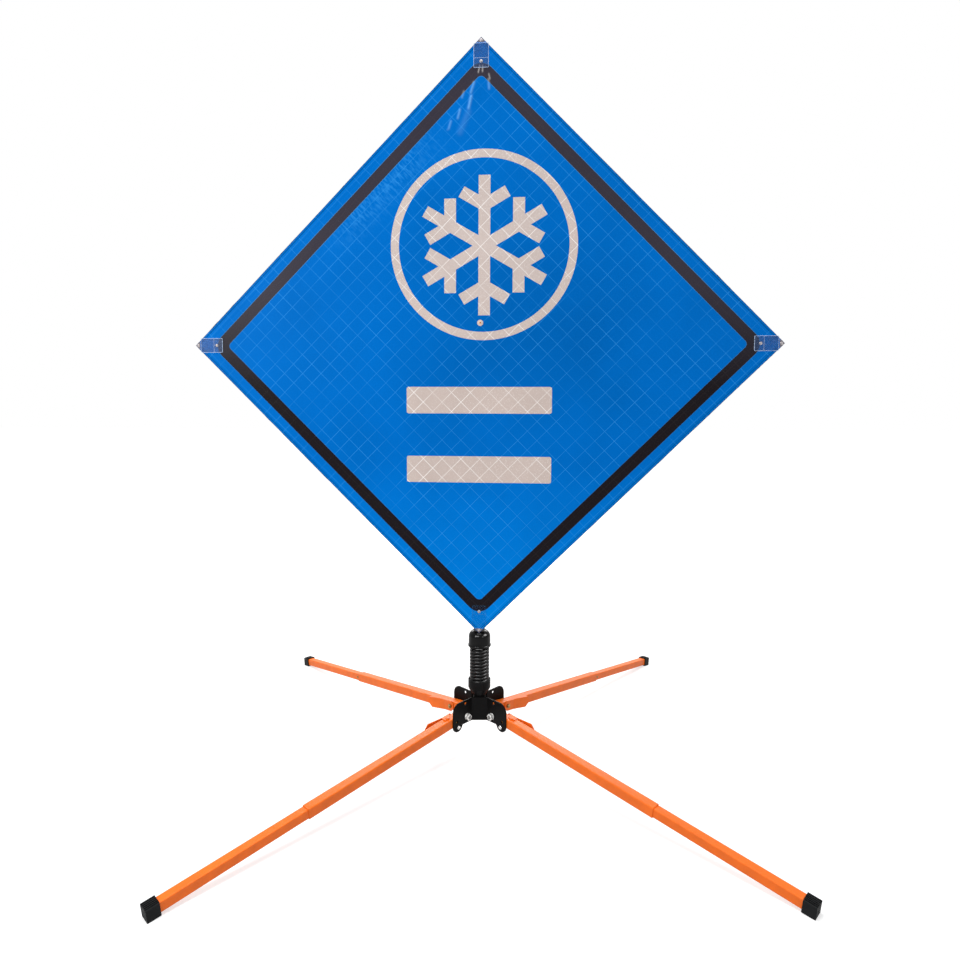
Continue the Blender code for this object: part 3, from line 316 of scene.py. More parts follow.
for corner in corners:
    place, hand = leg_frame(corner)
    outward = place @ Matrix.Rotation(math.radians(90 * hand), 4, "X")
    nut = lathe(corner + "_nut_flange", nut_flange, satin_zinc, "stand", outward, 36)
    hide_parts(corner + "_pivot_nut")
    flats = prism(hexagon(nut_across), flange_top - 0.0006, nut_end, 0.0010)
    finished(corner + "_nut_flats", flats, satin_zinc, "stand", outward, 25)
    shank = lathe(corner + "_bolt_shank", bolt_shank, dull_zinc, "stand", outward, 28)
    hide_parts(corner + "_pivot_bolt")
    head = prism(hexagon(head_across), head_foot, head_top, 0.0008)
    finished(corner + "_bolt_head", head, bright_zinc, "stand", outward, 25)
    at = place @ Matrix.Translation((stop_along, 0, -stop_drop))
    stop_turn = at @ Matrix.Rotation(math.radians(90 * hand), 4, "X")
    stop_rivet = lathe(corner + "_stop_rivet", stop_shank, bright_zinc, "stand", stop_turn, 28)
    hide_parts(corner + "_stop_pin")


# Each leg is a pair of square steel tubes that telescope, powder coated orange. A bent lever
# of the same colour turns on a pin at its inner end, and draws the lock pin, which is plated
# with yellow zinc, out of the wing.
orange_coat = powder_coat("orange_powder_coat", (0.87, 0.151, 0.005), 0.38, 0.31)
yellow_zinc = plated_steel("yellow_zinc", (0.11, 0.06, 0.02), (0.38, 0.25, 0.10), 0.32)
for corner in corners:
    coat_nodes(orange_coat, corner + "_outer_tube", corner + "_inner_tube", corner + "_lever")
    coat_nodes(orange_coat, corner + "_lever_pin")
    coat_nodes(yellow_zinc, corner + "_lock_pin")


# A spring button in the inner tube snaps out in front of the outer tube's end and holds the
# leg at its full length. Its round head is yellow zinc, and it goes down when the leg is
# pushed in.
button_at, button_foot = 0.5462, 0.0107
button_dome = [
    (0.0, 0.01490), (0.0013, 0.01475), (0.0024, 0.01425), (0.0031, 0.01340), (0.0034, 0.01240),
    (0.0034, button_foot), (0.0, button_foot),
]
for corner in corners:
    place, hand = leg_frame(corner)
    turned = Matrix.Rotation(math.radians(-90 * hand), 4, "X")
    seat = place @ Matrix.Translation((button_at, 0, 0)) @ turned
    button = lathe(corner + "_button_head", button_dome, yellow_zinc, corner + "_button", seat, 24)
    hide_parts(corner + "_snap_button")
    outward = (seat.to_3x3() @ Vector((0, 0, 1))).normalized()
    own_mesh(button)


# The feet are square caps of black rubber, pushed over the inner tubes. They are moulded with
# fine ribs along the leg, whose crests are painted paler as a painted highlight, and a little
# road dust sits in the grain.
def moulded_rubber(name, colour, crest_highlight_colour, across, rib):
    """Rubber with ribs side by side in the direction across, at that distance."""
    rubber = Finish(name)
    sideways = {0: rubber.place, 1: across}
    width = rubber.node("VectorMath", "Value", sideways, operation="DOT_PRODUCT")
    crest = rubber.maths("PINGPONG", width, rib / 2)
    dust = rubber.noise(60.0, 7.0)
    plain = rubber.two_tone(dust, 0.4, colour, 0.85, [c * 2.5 + 0.004 for c in colour])
    # Painted highlight: the crests of the ribs are painted paler, standing in for the light they
    # catch.
    painted_crest_highlight = rubber.ranged(crest, 0.0, 0.8, rib * 0.30, rib * 0.50)
    grain = rubber.bumped(rubber.noise(700.0, 6.0), 0.35, 0.0003)
    rubber.give({
        "Base Color": rubber.blended(painted_crest_highlight, plain, crest_highlight_colour),
        "Roughness": rubber.ranged(dust, 0.44, 0.66),
        "Specular IOR Level": 0.05,
        "Normal": rubber.bumped(crest, 0.8, 0.8, grain),
    })
    return rubber.material


rubber_black, rubber_crest_highlight = (0.0030, 0.0032, 0.0034), (0.036, 0.038, 0.039)
foot_rib = 0.0052
for corner in corners:
    foot_cap = frame["nodes"][corner + "_foot_cap"]
    level = leg_frame(corner)[0].to_3x3() @ Vector((0, 1, 0))
    across = foot_cap.matrix_world.to_3x3().inverted() @ level
    foot_rubber = moulded_rubber(
        corner + "_foot_rubber", rubber_black, rubber_crest_highlight, across, foot_rib
    )
    coat_nodes(foot_rubber, corner + "_foot_cap")


# The mast's spring is wound from 9.5 mm wire, right-handed, with its ends turned up into the
# cup and the cap. It has a satin black coat.
spring_low, spring_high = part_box("spring")
wire, pitch, turns, turn_steps, spring_radius = 0.0095, 0.01027, 10.5, 32, 0.0302
coil_radius = spring_radius - wire / 2
lead = (spring_high.z - spring_low.z - pitch * turns) / 2
stub, end_turn, end_rise, end_steps = wire * 0.6, 0.10, 0.0048, 5
first = 0.14
last = first + turns * math.tau
foot, head = spring_low.z + lead, spring_high.z - lead

# Each point of the wire is its turn about the spring's axis, in radians, and its height.
path = [(0.0, spring_low.z), (0.0, spring_low.z + stub)]
for n in range(1, end_steps + 1):
    turn = math.radians(16 * n)
    path.append((end_turn * (1 - math.cos(turn)), foot - end_rise * (1 - math.sin(turn))))
count = round(turns * turn_steps)
for n in range(count + 1):
    path.append((first + (last - first) * n / count, foot + (head - foot) * n / count))
for n in range(1, end_steps + 1):
    turn = math.radians(16 * n)
    path.append((last + end_turn * math.sin(turn), head + end_rise * (1 - math.cos(turn))))
path += [(last + 0.12, spring_high.z - stub), (last + 0.12, spring_high.z)]
line = bpy.data.curves.new("spring_wire", "CURVE")
line.dimensions = "3D"
line.bevel_depth = wire / 2
line.bevel_resolution = 5
line.use_fill_caps = True
strand = line.splines.new("POLY")
strand.points.add(len(path) - 1)
for point, (turn, z) in zip(strand.points, path):
    point.co = (coil_radius * math.cos(turn), coil_radius * math.sin(turn), z, 1.0)
guide = bpy.data.objects.new("spring_wire", line)
bpy.context.collection.objects.link(guide)
bpy.context.view_layer.update()
coil_mesh = bpy.data.meshes.new_from_object(
    guide.evaluated_get(bpy.context.evaluated_depsgraph_get())
)
bpy.data.objects.remove(guide)
coil_mesh.materials.clear()
spring_black = powder_coat("spring_black_coat", (0.0026, 0.0026, 0.0029), 0.30, 0.18, 0.03)
coil_mesh.materials.append(spring_black)
coil_mesh.shade_smooth()
coil = bpy.data.objects.new("mast_spring", coil_mesh)
bpy.context.collection.objects.link(coil)
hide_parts("spring")
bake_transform(coil)


# The spring's upper cap is a deep-drawn steel dome with a rolled lip, in a glossy black
# coat. The bracket welded on it is bent from flat bar and takes the upright rib.
gloss_black = powder_coat("gloss_black_coat", (0.0036, 0.0036, 0.0039), 0.09, 0.10, 0.03)
cap_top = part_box("upper_cap")[1].z
cap_radius, lip_radius, dome_top, dome_rise = 0.0334, 0.0348, 0.0142, 0.0198
socket_radius, plug_radius, socket_rise = 0.0312, 0.0170, 0.0102
lip_foot = cap_top - 0.0488
dome, dome_steps = [], 12
for n in range(dome_steps + 1):
    turn = math.pi / 2 * (1 - n / dome_steps)
    dome.append((
        dome_top + (cap_radius - dome_top) * math.cos(turn),
        cap_top - dome_rise + dome_rise * math.sin(turn),
    ))
cap_profile = [(0.0, cap_top)] + dome + [
    (cap_radius, lip_foot + 0.0068), (cap_radius + 0.0003, lip_foot + 0.0060),
    (lip_radius - 0.0004, lip_foot + 0.0056), (lip_radius, lip_foot + 0.0050),
    (lip_radius, lip_foot + 0.0010), (lip_radius - 0.0004, lip_foot + 0.0003),
    (lip_radius - 0.0012, lip_foot), (socket_radius, lip_foot),
    (socket_radius, lip_foot + socket_rise), (plug_radius, lip_foot + socket_rise),
    (plug_radius, lip_foot - 0.0038), (plug_radius - 0.0020, lip_foot - 0.0058),
    (0.0, lip_foot - 0.0058),
]
cap = lathe("mast_cap", cap_profile, gloss_black, "mast_head")
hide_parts("upper_cap")
coat_nodes(black_coat, "rib_bracket")
coat_nodes(bright_zinc, "clamp_screw", "cross_rivet")


# The two ribs are flat bars of pultruded fibreglass, black, with the glass rovings showing
# as fine streaks along them.
def fibreglass_bar(name, grain):
    """Streaks that the grain's three scales draw out along the bar."""
    bar = Finish(name)
    stretched = bar.node("Mapping", "Vector", {"Vector": bar.place, "Scale": grain})
    streak = bar.noise(1.0, 4.0, stretched)
    bar.give({
        "Base Color": bar.two_tone(
            streak, 0.35, (0.010, 0.010, 0.010), 0.75, (0.032, 0.031, 0.029)
        ),
        "Roughness": 0.42,
        "Normal": bar.bumped(streak, 0.3, 0.0002),
    })
    return bar.material


fine, drawn_out = 900.0, 12.0
coat_nodes(fibreglass_bar("upright_fibreglass", (fine, fine, drawn_out)), "vertical_rib")
coat_nodes(fibreglass_bar("cross_fibreglass", (drawn_out, fine, fine)), "horizontal_rib")


# The sign's face is a square of reflective vinyl on a nylon scrim, welded in cells that show
# as a grid of fine lines. Each print on it is an ink over the same vinyl, with fine speckles
# of glass in it, and the grey scrim is bare on the back.
sheet_low, sheet_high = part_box("sheet")
tip = (sheet_high.z - sheet_low.z) / 2
half_side, diagonal = tip / math.sqrt(2), math.sqrt(0.5)
cell, line_half, weld_half = 0.0395, 0.0007, 0.0008
hem_shade_inset, middle_shade_x, middle_shade_z = 0.0064, 0.14, 0.10


def vinyl(
    name, low, high, pale, gloss, shine, lines, speckle, crease_glint=0.0, white=(1.0, 1.0, 1.0),
    painted_light_span=(-0.12, 0.16), ripple_sheen=0.0, middle_shade=0.0, hem=0.0,
):
    """Vinyl that goes from its low colour to its high one over a span of heights, which paints
    light on it, and that can carry painted shade in the middle and along the hem, painted sheen on
    ripples and painted glints along the creases.
    """
    film = Finish(name)
    slant = (0.0, math.radians(45), 0.0)
    turned = film.node("Mapping", "Vector", {"Vector": film.place, "Rotation": slant})
    x, z = [film.axis(film.place, way) for way in "XZ"]
    a, b = [film.axis(turned, way) for way in "XZ"]

    def grid(half):
        both = [film.maths("PINGPONG", way, cell / 2) for way in (a, b)]
        return film.maths("MAXIMUM", *[film.maths("LESS_THAN", way, half) for way in both])

    # Painted light: the colour goes from low to high over the span of heights, standing in for
    # light that falls unevenly on the face.
    base = film.blended(film.ranged(z, 0.0, 1.0, *painted_light_span), low, high)
    shade = film.ranged(film.noise(5.0, 4.0), 0.0, 0.10, 0.3, 0.7)
    base = film.blended(shade, base, (0.0, 0.0, 0.0))
    # Painted shade: the face is painted darker around a point in its middle, fading out towards the
    # edges.
    side_way = film.maths("ABSOLUTE", film.maths("SUBTRACT", x, middle_shade_x))
    high_way = film.maths("ABSOLUTE", film.maths("SUBTRACT", z, middle_shade_z))
    middle = film.ranged(film.maths("MAXIMUM", side_way, high_way), middle_shade, 0.0, 0.10, 0.42)
    base = film.blended(middle, base, (0.0, 0.0, 0.0))
    sparkle = film.ranged(film.noise(420.0), 0.0, speckle, 0.58, 0.72)
    base = film.blended(sparkle, base, pale)
    worn = film.ranged(film.noise(9.0), 0.35, 1.0, 0.35, 0.65)
    seen = film.maths("MULTIPLY", grid(line_half), worn)
    base = film.blended(film.maths("MULTIPLY", seen, lines), base, pale)
    # Painted shade: a thin dark line is painted along the hem, inset from the edge of the face.
    if hem:
        out = film.maths("MAXIMUM", *[film.maths("ABSOLUTE", way) for way in (a, b)])
        gap = film.maths("ABSOLUTE", film.maths("SUBTRACT", out, half_side - hem_shade_inset))
        base = film.blended(film.ranged(gap, hem, 0.0, 0.0004, 0.0018), base, (0.0, 0.06, 0.20))
    # Painted sheen: a stretched pattern of paler streaks in a band near the border stands in for
    # light caught by small ripples in the vinyl.
    if ripple_sheen:
        stretched = film.node("Mapping", "Vector", {"Vector": turned, "Scale": (150.0, 1.0, 42.0)})
        share = film.ranged(film.noise(1.0, at=stretched), 0.0, ripple_sheen, 0.44, 0.66)
        for way, start, full, fading, end in (
            (b, 0.450, 0.505, 0.536, 0.540), (a, -0.12, 0.02, 0.20, 0.36)
        ):
            rising = film.ranged(way, 0.0, 1.0, start, full)
            falling = film.ranged(way, 1.0, 0.0, fading, end)
            share = film.maths("MULTIPLY", share, film.maths("MULTIPLY", rising, falling))
        base = film.blended(share, base, pale)
    # Painted highlight: the vinyl is painted towards the white colour along the folds, by the share
    # kept on the mesh.
    glint_share = film.node("Attribute", "Fac", {}, attribute_name="crease_glint")
    film.give({
        "Base Color": film.blended(film.maths("MULTIPLY", glint_share, crease_glint), base, white),
        "Roughness": gloss,
        "Specular IOR Level": shine,
        "Normal": film.bumped(grid(weld_half), 0.2, 0.0003),
    })
    return film.material


# The blue face is painted lighter towards the bottom as painted light, and darker in the middle as
# painted shade, with a painted dark line of shade along the hem, a painted sheen on the ripples
# near the border and painted glints along the creases.
blue_print = vinyl(
    "blue_reflective_vinyl", low=(0.0, 0.215, 0.74), high=(0.0, 0.146, 0.55),
    pale=(0.05, 0.37, 0.86), gloss=0.40, shine=0.01, lines=0.44, speckle=0.07, crease_glint=0.75,
    white=(0.24, 0.58, 1.0), painted_light_span=(-0.78, -0.34), ripple_sheen=0.32, middle_shade=0.15, hem=0.75,
)
# The black border is painted lighter towards the top, a painted reflection, and gets painted glints
# along the creases.
black_print = vinyl(
    "black_print", low=(0.0085, 0.0065, 0.009), high=(0.036, 0.032, 0.046),
    pale=(0.16, 0.13, 0.11), gloss=0.34, shine=0.05, lines=0.06, speckle=0.12, crease_glint=0.9,
    white=(0.50, 0.48, 0.47),
)
pale_print = vinyl(
    "pale_reflective_vinyl", low=(0.58, 0.48, 0.437), high=(0.58, 0.488, 0.452),
    pale=(0.98, 0.96, 0.94), gloss=0.40, shine=0.15, lines=0.85, speckle=0.60,
)
# The outer edge of the face, where the hem rolls back, and the sheet's cut edge are painted dark
# blue as painted shade.
hem_edge_shade = vinyl(
    "hem_edge_shade", low=(0.0, 0.085, 0.30), high=(0.0, 0.075, 0.27), pale=(0.0, 0.16, 0.45),
    gloss=0.40, shine=0.05, lines=0.2, speckle=0.1,
)
# The thin edges of the border are painted lighter towards the top, a painted reflection.
edge_print = vinyl(
    "edge_print", low=(0.015, 0.13, 0.40), high=(0.05, 0.22, 0.50), pale=(0.10, 0.34, 0.60),
    gloss=0.40, shine=0.05, lines=0.2, speckle=0.2,
)
tip_grey = powder_coat("tip_grey", (0.17, 0.15, 0.155), 0.40, 0.20, 0.1)
scrim_back = vinyl(
    "grey_scrim_back", low=(0.50, 0.51, 0.52), high=(0.52, 0.53, 0.54),
    pale=(0.66, 0.66, 0.66), gloss=0.60, shine=0.30, lines=0.50, speckle=0.20,
)

# The face is held at its four corners, and its edges are turned back and welded as hems. The
# crossed ribs pull it tight, which leaves creases that run down from the top plate.
sign_turn = math.radians(-5.1)
crossing = Vector(joints["cross_rib_turn"]["pos_m"])
sign_place = Matrix.Translation(crossing) @ Matrix.Rotation(sign_turn, 4, "Z")
sheet_front, sheet_thick = -0.024, 0.0008
hem_roll, hem_line, hem_fold = 0.0022, 0.0085, 0.0165
groove_half, groove_deep = 0.0014, 0.0005
plate_low, plate_high, plate_half, plate_clear = 0.0165, 0.0840, 0.0215, 0.001
swell_start, swell_spread, swell_long = 0.09, 0.10, 0.30
held_edge, held_plate = 0.05, 0.006

# Start, end, half width, height, and how strongly a painted glint lies along the fold.
folds = (
    ((-0.020, 0.736), (-0.029, 0.708), 0.0034, 0.0012, 0.50),
    ((-0.028, 0.698), (-0.035, 0.666), 0.0036, 0.0014, 0.62),
    ((-0.049, 0.712), (-0.054, 0.696), 0.0028, 0.0007, 0.40),
    ((-0.060, 0.662), (-0.066, 0.639), 0.0030, 0.0011, 0.50),
    ((-0.086, 0.631), (-0.092, 0.611), 0.0030, 0.0009, 0.42),
    ((-0.036, 0.655), (-0.060, 0.600), 0.0080, 0.0008, 0.12),
    ((0.021, 0.743), (0.023, 0.718), 0.0030, 0.0009, 0.45),
    ((-0.004, 0.782), (-0.008, 0.763), 0.0018, 0.0009, 0.75),
    ((0.004, 0.782), (0.004, 0.765), 0.0018, 0.0009, 0.75),
    ((0.022, 0.758), (0.025, 0.745), 0.0018, 0.0007, 0.60),
)

# Sideways lean, half width and height of the wide swells below the top plate.
swells = ((0.50, 0.020, 0.0016), (0.22, 0.016, 0.0012), (-0.42, 0.022, 0.0009))

# Scale, height and phase of the two undulations all over the face.
undulations = ((5.0, 0.0007, 3.1), (16.0, 0.00028, 8.7))


def fold_gap(x, z, start, end):
    """How far each place is from the line of a fold."""
    run, drop = end[0] - start[0], end[1] - start[1]
    share = ((x - start[0]) * run + (z - start[1]) * drop) / (run**2 + drop**2)
    share = np.clip(share, 0.0, 1.0)
    return np.hypot(x - start[0] - share * run, z - start[1] - share * drop)


def face_height(x, z):
    """How far the stretched face stands forward of its plane, for arrays of places on it."""
    fall = np.maximum(tip - swell_start - z, 0.0)
    rise = np.zeros_like(x)
    for lean, width, high in swells:
        across = (x + lean * fall) / (width + swell_spread * fall)
        rise += high * np.minimum(1.0, fall / 0.05) * np.exp(-fall / swell_long - across**2)
    for start, end, width, high, _ in folds:
        rise += high * np.exp(-((fold_gap(x, z, start, end) / width) ** 2))
    for waves, high, phase in undulations:
        rise += high * np.array([
            noise.noise(Vector((waves * u, waves * v, phase))) for u, v in zip(x, z)
        ])
    to_edge = tip - np.abs(x) - np.abs(z)
    held = np.minimum(1.0, to_edge / held_edge)
    for along, across in ((x, z), (-x, z), (z, x), (-z, x)):
        below_plate = tip - plate_high - plate_clear - along
        beside_plate = np.abs(across) - plate_half - plate_clear
        held = np.minimum(held, np.maximum(below_plate, beside_plate) / held_plate)
    inset = to_edge / math.sqrt(2)
    groove = groove_deep * np.exp(-(((inset - hem_line) / groove_half) ** 2))
    groove += groove_deep / 2 * np.exp(-(((inset - hem_line - hem_fold) / groove_half) ** 2))
    return rise * np.clip(held, 0.0, 1.0) - groove


# The print: a black border with a thin edge on both sides, a pale ring with the frost sign
# in it, two blank bars, and the grey tips of the corners. Places are measured from where the
# ribs cross, on the flat face.
border_drop, border_corners = 0.002, 10
ring_x, ring_z, ring_out, ring_in = 0.0085, 0.2828, 0.2705, 0.2465
frost_at = Vector((0.0112, 0.2822))
arm_half, arm_long, branch_root, branch_long = 0.017, 0.1985, 0.1145, 0.0768
bar_long, bar_high, bar_corner, bar_aside = 0.2135, 0.039, 0.006, 0.0035
tip_nose, tip_nose_half, tip_root, tip_root_half = 0.0011, 0.00047, 0.0136, 0.01222


def inside(x, z, *outlines):
    """Which of the places lie inside the outlines, where one in another is a hole."""
    found = np.zeros(len(x), bool)
    for outline in outlines:
        for (x0, z0), (x1, z1) in zip(outline, outline[1:] + outline[:1]):
            if z0 != z1:
                crossed = (z0 > z) != (z1 > z)
                found ^= crossed & (x < x0 + (z - z0) * (x1 - x0) / (z1 - z0))
    return found


def diamond(inset, radius):
    """A square on its corner, inset from the face's edge, with rounded corners."""
    half = half_side - inset
    return [
        ((a - b) * diagonal, (a + b) * diagonal - border_drop)
        for a, b in rounded_square(half, half, radius, border_corners)
    ]


def circle(x, z, radius, steps=120):
    return [
        (x + radius * math.cos(math.tau * n / steps), z + radius * math.sin(math.tau * n / steps))
        for n in range(steps)
    ]


border = [diamond(0.0370, 0.040), diamond(0.0699, 0.014)]
edging = [diamond(0.0358, 0.041), *border, diamond(0.0711, 0.013)]
ring = [circle(ring_x, ring_z, ring_out), circle(ring_x, ring_z, ring_in)]
sine, cosine = math.sin(math.radians(60)), math.cos(math.radians(60))
branch_x, branch_z = branch_long * sine, branch_root + branch_long * cosine
right = [
    (arm_half, branch_root - arm_half / math.sqrt(3)),
    (branch_x + arm_half * cosine, branch_z - arm_half * sine),
    (branch_x - arm_half * cosine, branch_z + arm_half * sine),
    (arm_half, branch_root + arm_half * math.sqrt(3)),
    (arm_half, arm_long),
]
arm = right + [(-x, z) for x, z in reversed(right)] + [(-arm_half, arm_half * math.sqrt(3))]
frost = []
for n in range(6):
    spun = Matrix.Rotation(math.radians(60 * n), 2)
    frost += [tuple(frost_at + spun @ Vector(point)) for point in arm]
bars = [
    [(x - bar_aside, z + middle) for x, z in rounded_square(bar_long, bar_high, bar_corner, 4)]
    for middle in (-0.162, -0.366)
]
corner_tip = (
    (tip - tip_nose, -tip_nose_half), (tip - tip_nose, tip_nose_half),
    (tip - tip_root, tip_root_half), (tip - tip_root, -tip_root_half),
)
tips = []
for n in range(4):
    spun = Matrix.Rotation(math.radians(90 * n), 2)
    tips.append([tuple(spun @ Vector(point)) for point in corner_tip])
prints = [*edging, *ring, frost, *bars, *tips]

# The mesh is cut along every print's outline and along a grid between them, which is finer
# towards the top, where the creases are, and has lines where the hem is folded.
outline_step, clear_gap, closest_cut = 0.006, 0.0009, 0.0005
fine_step, wide_step = 0.0026, 0.0076
fine_end, fine_high, fine_wide = 0.045, 0.165, 0.245


def cut_lines(fine_from):
    """Where the mesh is cut along one side, with fine steps from that far before its end."""
    marks = {-half_side, half_side}
    at = -half_side
    while at < half_side:
        marks.add(at)
        at += fine_step if half_side - fine_from < at < half_side - fine_end else wide_step
    insets = [hem_roll]
    for line in (hem_line, hem_line + hem_fold):
        insets += [line + step * groove_half for step in (-2, -1, 0, 1, 2)]
    for inset in insets:
        marks |= {half_side - inset, inset - half_side}
    marks = sorted(marks)
    return [m for m, after in zip(marks, marks[1:]) if after - m > closest_cut] + marks[-1:]


places, edges = [], []
for outline in prints:
    start = len(places)
    for (x0, z0), (x1, z1) in zip(outline, outline[1:] + outline[:1]):
        count = max(1, math.ceil(math.hypot(x1 - x0, z1 - z0) / outline_step))
        for n in range(count):
            places.append((x0 + (x1 - x0) * n / count, z0 + (z1 - z0) * n / count))
    end = len(places)
    edges += [(n, n + 1 if n + 1 < end else start) for n in range(start, end)]
outline_points = np.array(places)
grid_points = np.array([
    ((a - b) * diagonal, (a + b) * diagonal)
    for b in cut_lines(fine_high)
    for a in cut_lines(fine_wide)
])
near = np.zeros(len(grid_points), bool)
for point in outline_points:
    near |= np.abs(grid_points - point).max(axis=1) < clear_gap
points = [Vector(p) for p in np.concatenate([outline_points, grid_points[~near]])]
cut = geometry.delaunay_2d_cdt(points, edges, [], 0, 1e-6)
x, z = np.array([tuple(v) for v in cut[0]]).T
rise = face_height(x, z)
face_mesh = bpy.data.meshes.new("sign_face")
face_mesh.from_pydata(list(zip(x.tolist(), (sheet_front - rise).tolist(), z.tolist())), [], cut[2])
# How strongly each place of the face carries a painted glint along a fold.
painted_crease_glint = np.zeros(len(x))
for start, end, width, _, white in folds:
    painted_crease_glint += white * np.exp(-((fold_gap(x, z, start, end) / width) ** 2))
face_mesh.attributes.new("crease_glint", "FLOAT", "POINT").data.foreach_set("value", painted_crease_glint)

# Every face has the ink of the print that its middle lies in.
corners_of = np.array(cut[2])
x, z = x[corners_of].mean(axis=1), z[corners_of].mean(axis=1)
inks = (blue_print, black_print, pale_print, hem_edge_shade, tip_grey, edge_print)
inked = np.where(inside(x, z, *border), inks.index(black_print), inks.index(blue_print))
inked[inside(x, z, *ring, frost, *bars)] = inks.index(pale_print)
# The narrow strip at the face's edge gets the painted shade of the hem.
inked[tip - (np.abs(x) + np.abs(z)) < hem_roll * math.sqrt(2)] = inks.index(hem_edge_shade)
inked[inside(x, z, *tips)] = inks.index(tip_grey)
inked[inside(x, z, *edging)] = inks.index(edge_print)
for finish in inks + (scrim_back,) * len(inks):
    face_mesh.materials.append(finish)
face_mesh.polygons.foreach_set("material_index", inked)
face_mesh.update()
if face_mesh.polygons[0].normal.y > 0:
    face_mesh.flip_normals()
face_mesh.shade_smooth()
face = bpy.data.objects.new("sign_face", face_mesh)
face.matrix_world = sign_place
bpy.context.collection.objects.link(face)
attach(face, "sign")
skin = face.modifiers.new("thickness", "SOLIDIFY")
skin.thickness = sheet_thick
skin.offset = -1.0
skin.material_offset = len(inks)
# The sheet's cut edge gets the same painted shade.
skin.material_offset_rim = inks.index(hem_edge_shade)
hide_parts("sheet")


# Each corner carries a clear plate in front, held by two rivets, and a grey clip behind that
# takes the rib's end. The plate is cut from polycarbonate, and its frosted edges and the bend
# across it catch the light. The one at the bottom is cleaner and nearly unseen.
def clear_sheet(name, colour, cover, gloss, grain):
    """Sheet that covers what lies behind it by that share, more where it is scuffed."""
    sheet = Finish(name)
    scuff = sheet.noise(grain, 6.0)
    sheet.give({
        "Base Color": colour,
        "Roughness": sheet.ranged(scuff, gloss, gloss + 0.2),
        "Alpha": sheet.ranged(scuff, cover * 0.7, min(1.0, cover * 1.3), 0.35, 0.70),
        "Specular IOR Level": 0.2,
    })
    return sheet.material


clear_face = clear_sheet("clear_polycarbonate", (0.06, 0.12, 0.28), 0.22, 0.20, 30.0)
frosted_edge = clear_sheet("frosted_edge", (0.50, 0.64, 0.88), 0.72, 0.35, 120.0)
clean_face = clear_sheet("clean_polycarbonate", (0.02, 0.08, 0.20), 0.05, 0.40, 30.0)
clean_edge = clear_sheet("clean_edge", (0.10, 0.30, 0.55), 0.14, 0.45, 120.0)
grey_clip = powder_coat("grey_clip", (0.36, 0.37, 0.39), 0.40, 0.35, 0.1)
rivet_zinc = plated_steel("rivet_zinc", (0.16, 0.15, 0.155), (0.44, 0.41, 0.42), 0.56)
plate_thick, plate_edge, plate_corner = 0.0012, 0.0013, 0.0022
plate_gap, plate_chamfer = 0.0003, 0.0003
plate_middle, plate_half_long = tip - (plate_low + plate_high) / 2, (plate_high - plate_low) / 2
bend_at, bend_half, bend_high = 0.0575, 0.0004, 0.00025
rivet_head = [(0.0, 0.0013), (0.0020, 0.0012), (0.0038, 0.0007), (0.0046, 0.0), (0.0, 0.0)]
face_up = Matrix.Rotation(math.pi / 2, 4, "X")
for n, name in enumerate(("right", "top", "left", "bottom")):
    coat_nodes(grey_clip, name + "_rib_clip")
    out = sign_place @ Matrix.Rotation(-math.pi / 2 * n, 4, "Y")
    front = out @ Matrix.Translation((0, sheet_front - plate_gap, 0)) @ face_up
    plate_shape = bmesh.new()
    rings = []
    for inset, level in (
        (0.0, 0.0), (0.0, plate_thick - plate_chamfer), (plate_chamfer, plate_thick),
        (plate_edge, plate_thick),
    ):
        outline = rounded_square(
            plate_half_long - inset, plate_half - inset, max(plate_corner - inset, 0.0004), 3
        )
        rings.append([plate_shape.verts.new((plate_middle + x, y, level)) for x, y in outline])
    for edge_face in walled(plate_shape, rings):
        edge_face.material_index = 1
    plate_shape.faces.new(list(reversed(rings[0])))
    plate_shape.faces.new(rings[-1])
    bmesh.ops.recalc_face_normals(plate_shape, faces=plate_shape.faces)
    clear, frost_edge = (clean_face, clean_edge) if name == "bottom" else (clear_face, frosted_edge)
    plate = finished(name + "_plate", plate_shape, clear, "sign", front, 30)
    plate.data.materials.append(frost_edge)
    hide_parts(name + "_corner_plate")
    bend_line = rounded_square(bend_half, plate_half - plate_edge, 0.0002, 2)
    bend = prism(bend_line, 0.0, bend_high, 0.0001)
    at = front @ Matrix.Translation((tip - bend_at, 0, plate_thick))
    finished(name + "_plate_bend", bend, frost_edge, "sign", at, 30)
    for reach, seat in ((0.0088, 0.0), (0.0662, plate_thick)):
        at = front @ Matrix.Translation((tip - reach, 0, seat))
        lathe(f"{name}_rivet_{round(reach * 1000)}", rivet_head, rivet_zinc, "sign", at, 20)


# The keeper rivet goes through the face into the upright rib. It is a thin rivet with a flat
# copper plated head on a wide pale washer, which lies on the vinyl.
copper_plate = plated_steel("copper_plate", (0.22, 0.08, 0.03), (0.60, 0.26, 0.12), 0.42)
pale_washer = powder_coat("pale_washer", (0.62, 0.50, 0.45), 0.45, 0.2, 0.1)
keeper_low, keeper_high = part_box("keeper_rivet")
keeper_long = keeper_high.y - keeper_low.y
washer_radius, washer_back, keeper_radius = 0.0090, -0.0016, 0.0024
keeper_at = Matrix.Translation((
    (keeper_low.x + keeper_high.x) / 2, keeper_low.y, (keeper_low.z + keeper_high.z) / 2
)) @ Matrix.Rotation(sign_turn, 4, "Z") @ face_up
washer = [
    (0.0, 0.0), (0.0030, -0.0001), (0.0036, -0.0005), (washer_radius - 0.0004, -0.0009),
    (washer_radius, -0.0013), (washer_radius, washer_back), (keeper_radius, washer_back),
    (keeper_radius, -keeper_long), (0.0, -keeper_long),
]
keeper_head = [
    (0.0, 0.0003), (0.0018, 0.0002), (0.0030, -0.0001), (0.0032, -0.0005), (0.0, -0.0006),
]
keeper = lathe("keeper_washer", washer, pale_washer, "sign", keeper_at, 28)
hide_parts("keeper_rivet")
lathe("keeper_head", keeper_head, copper_plate, "sign", keeper_at, 24)


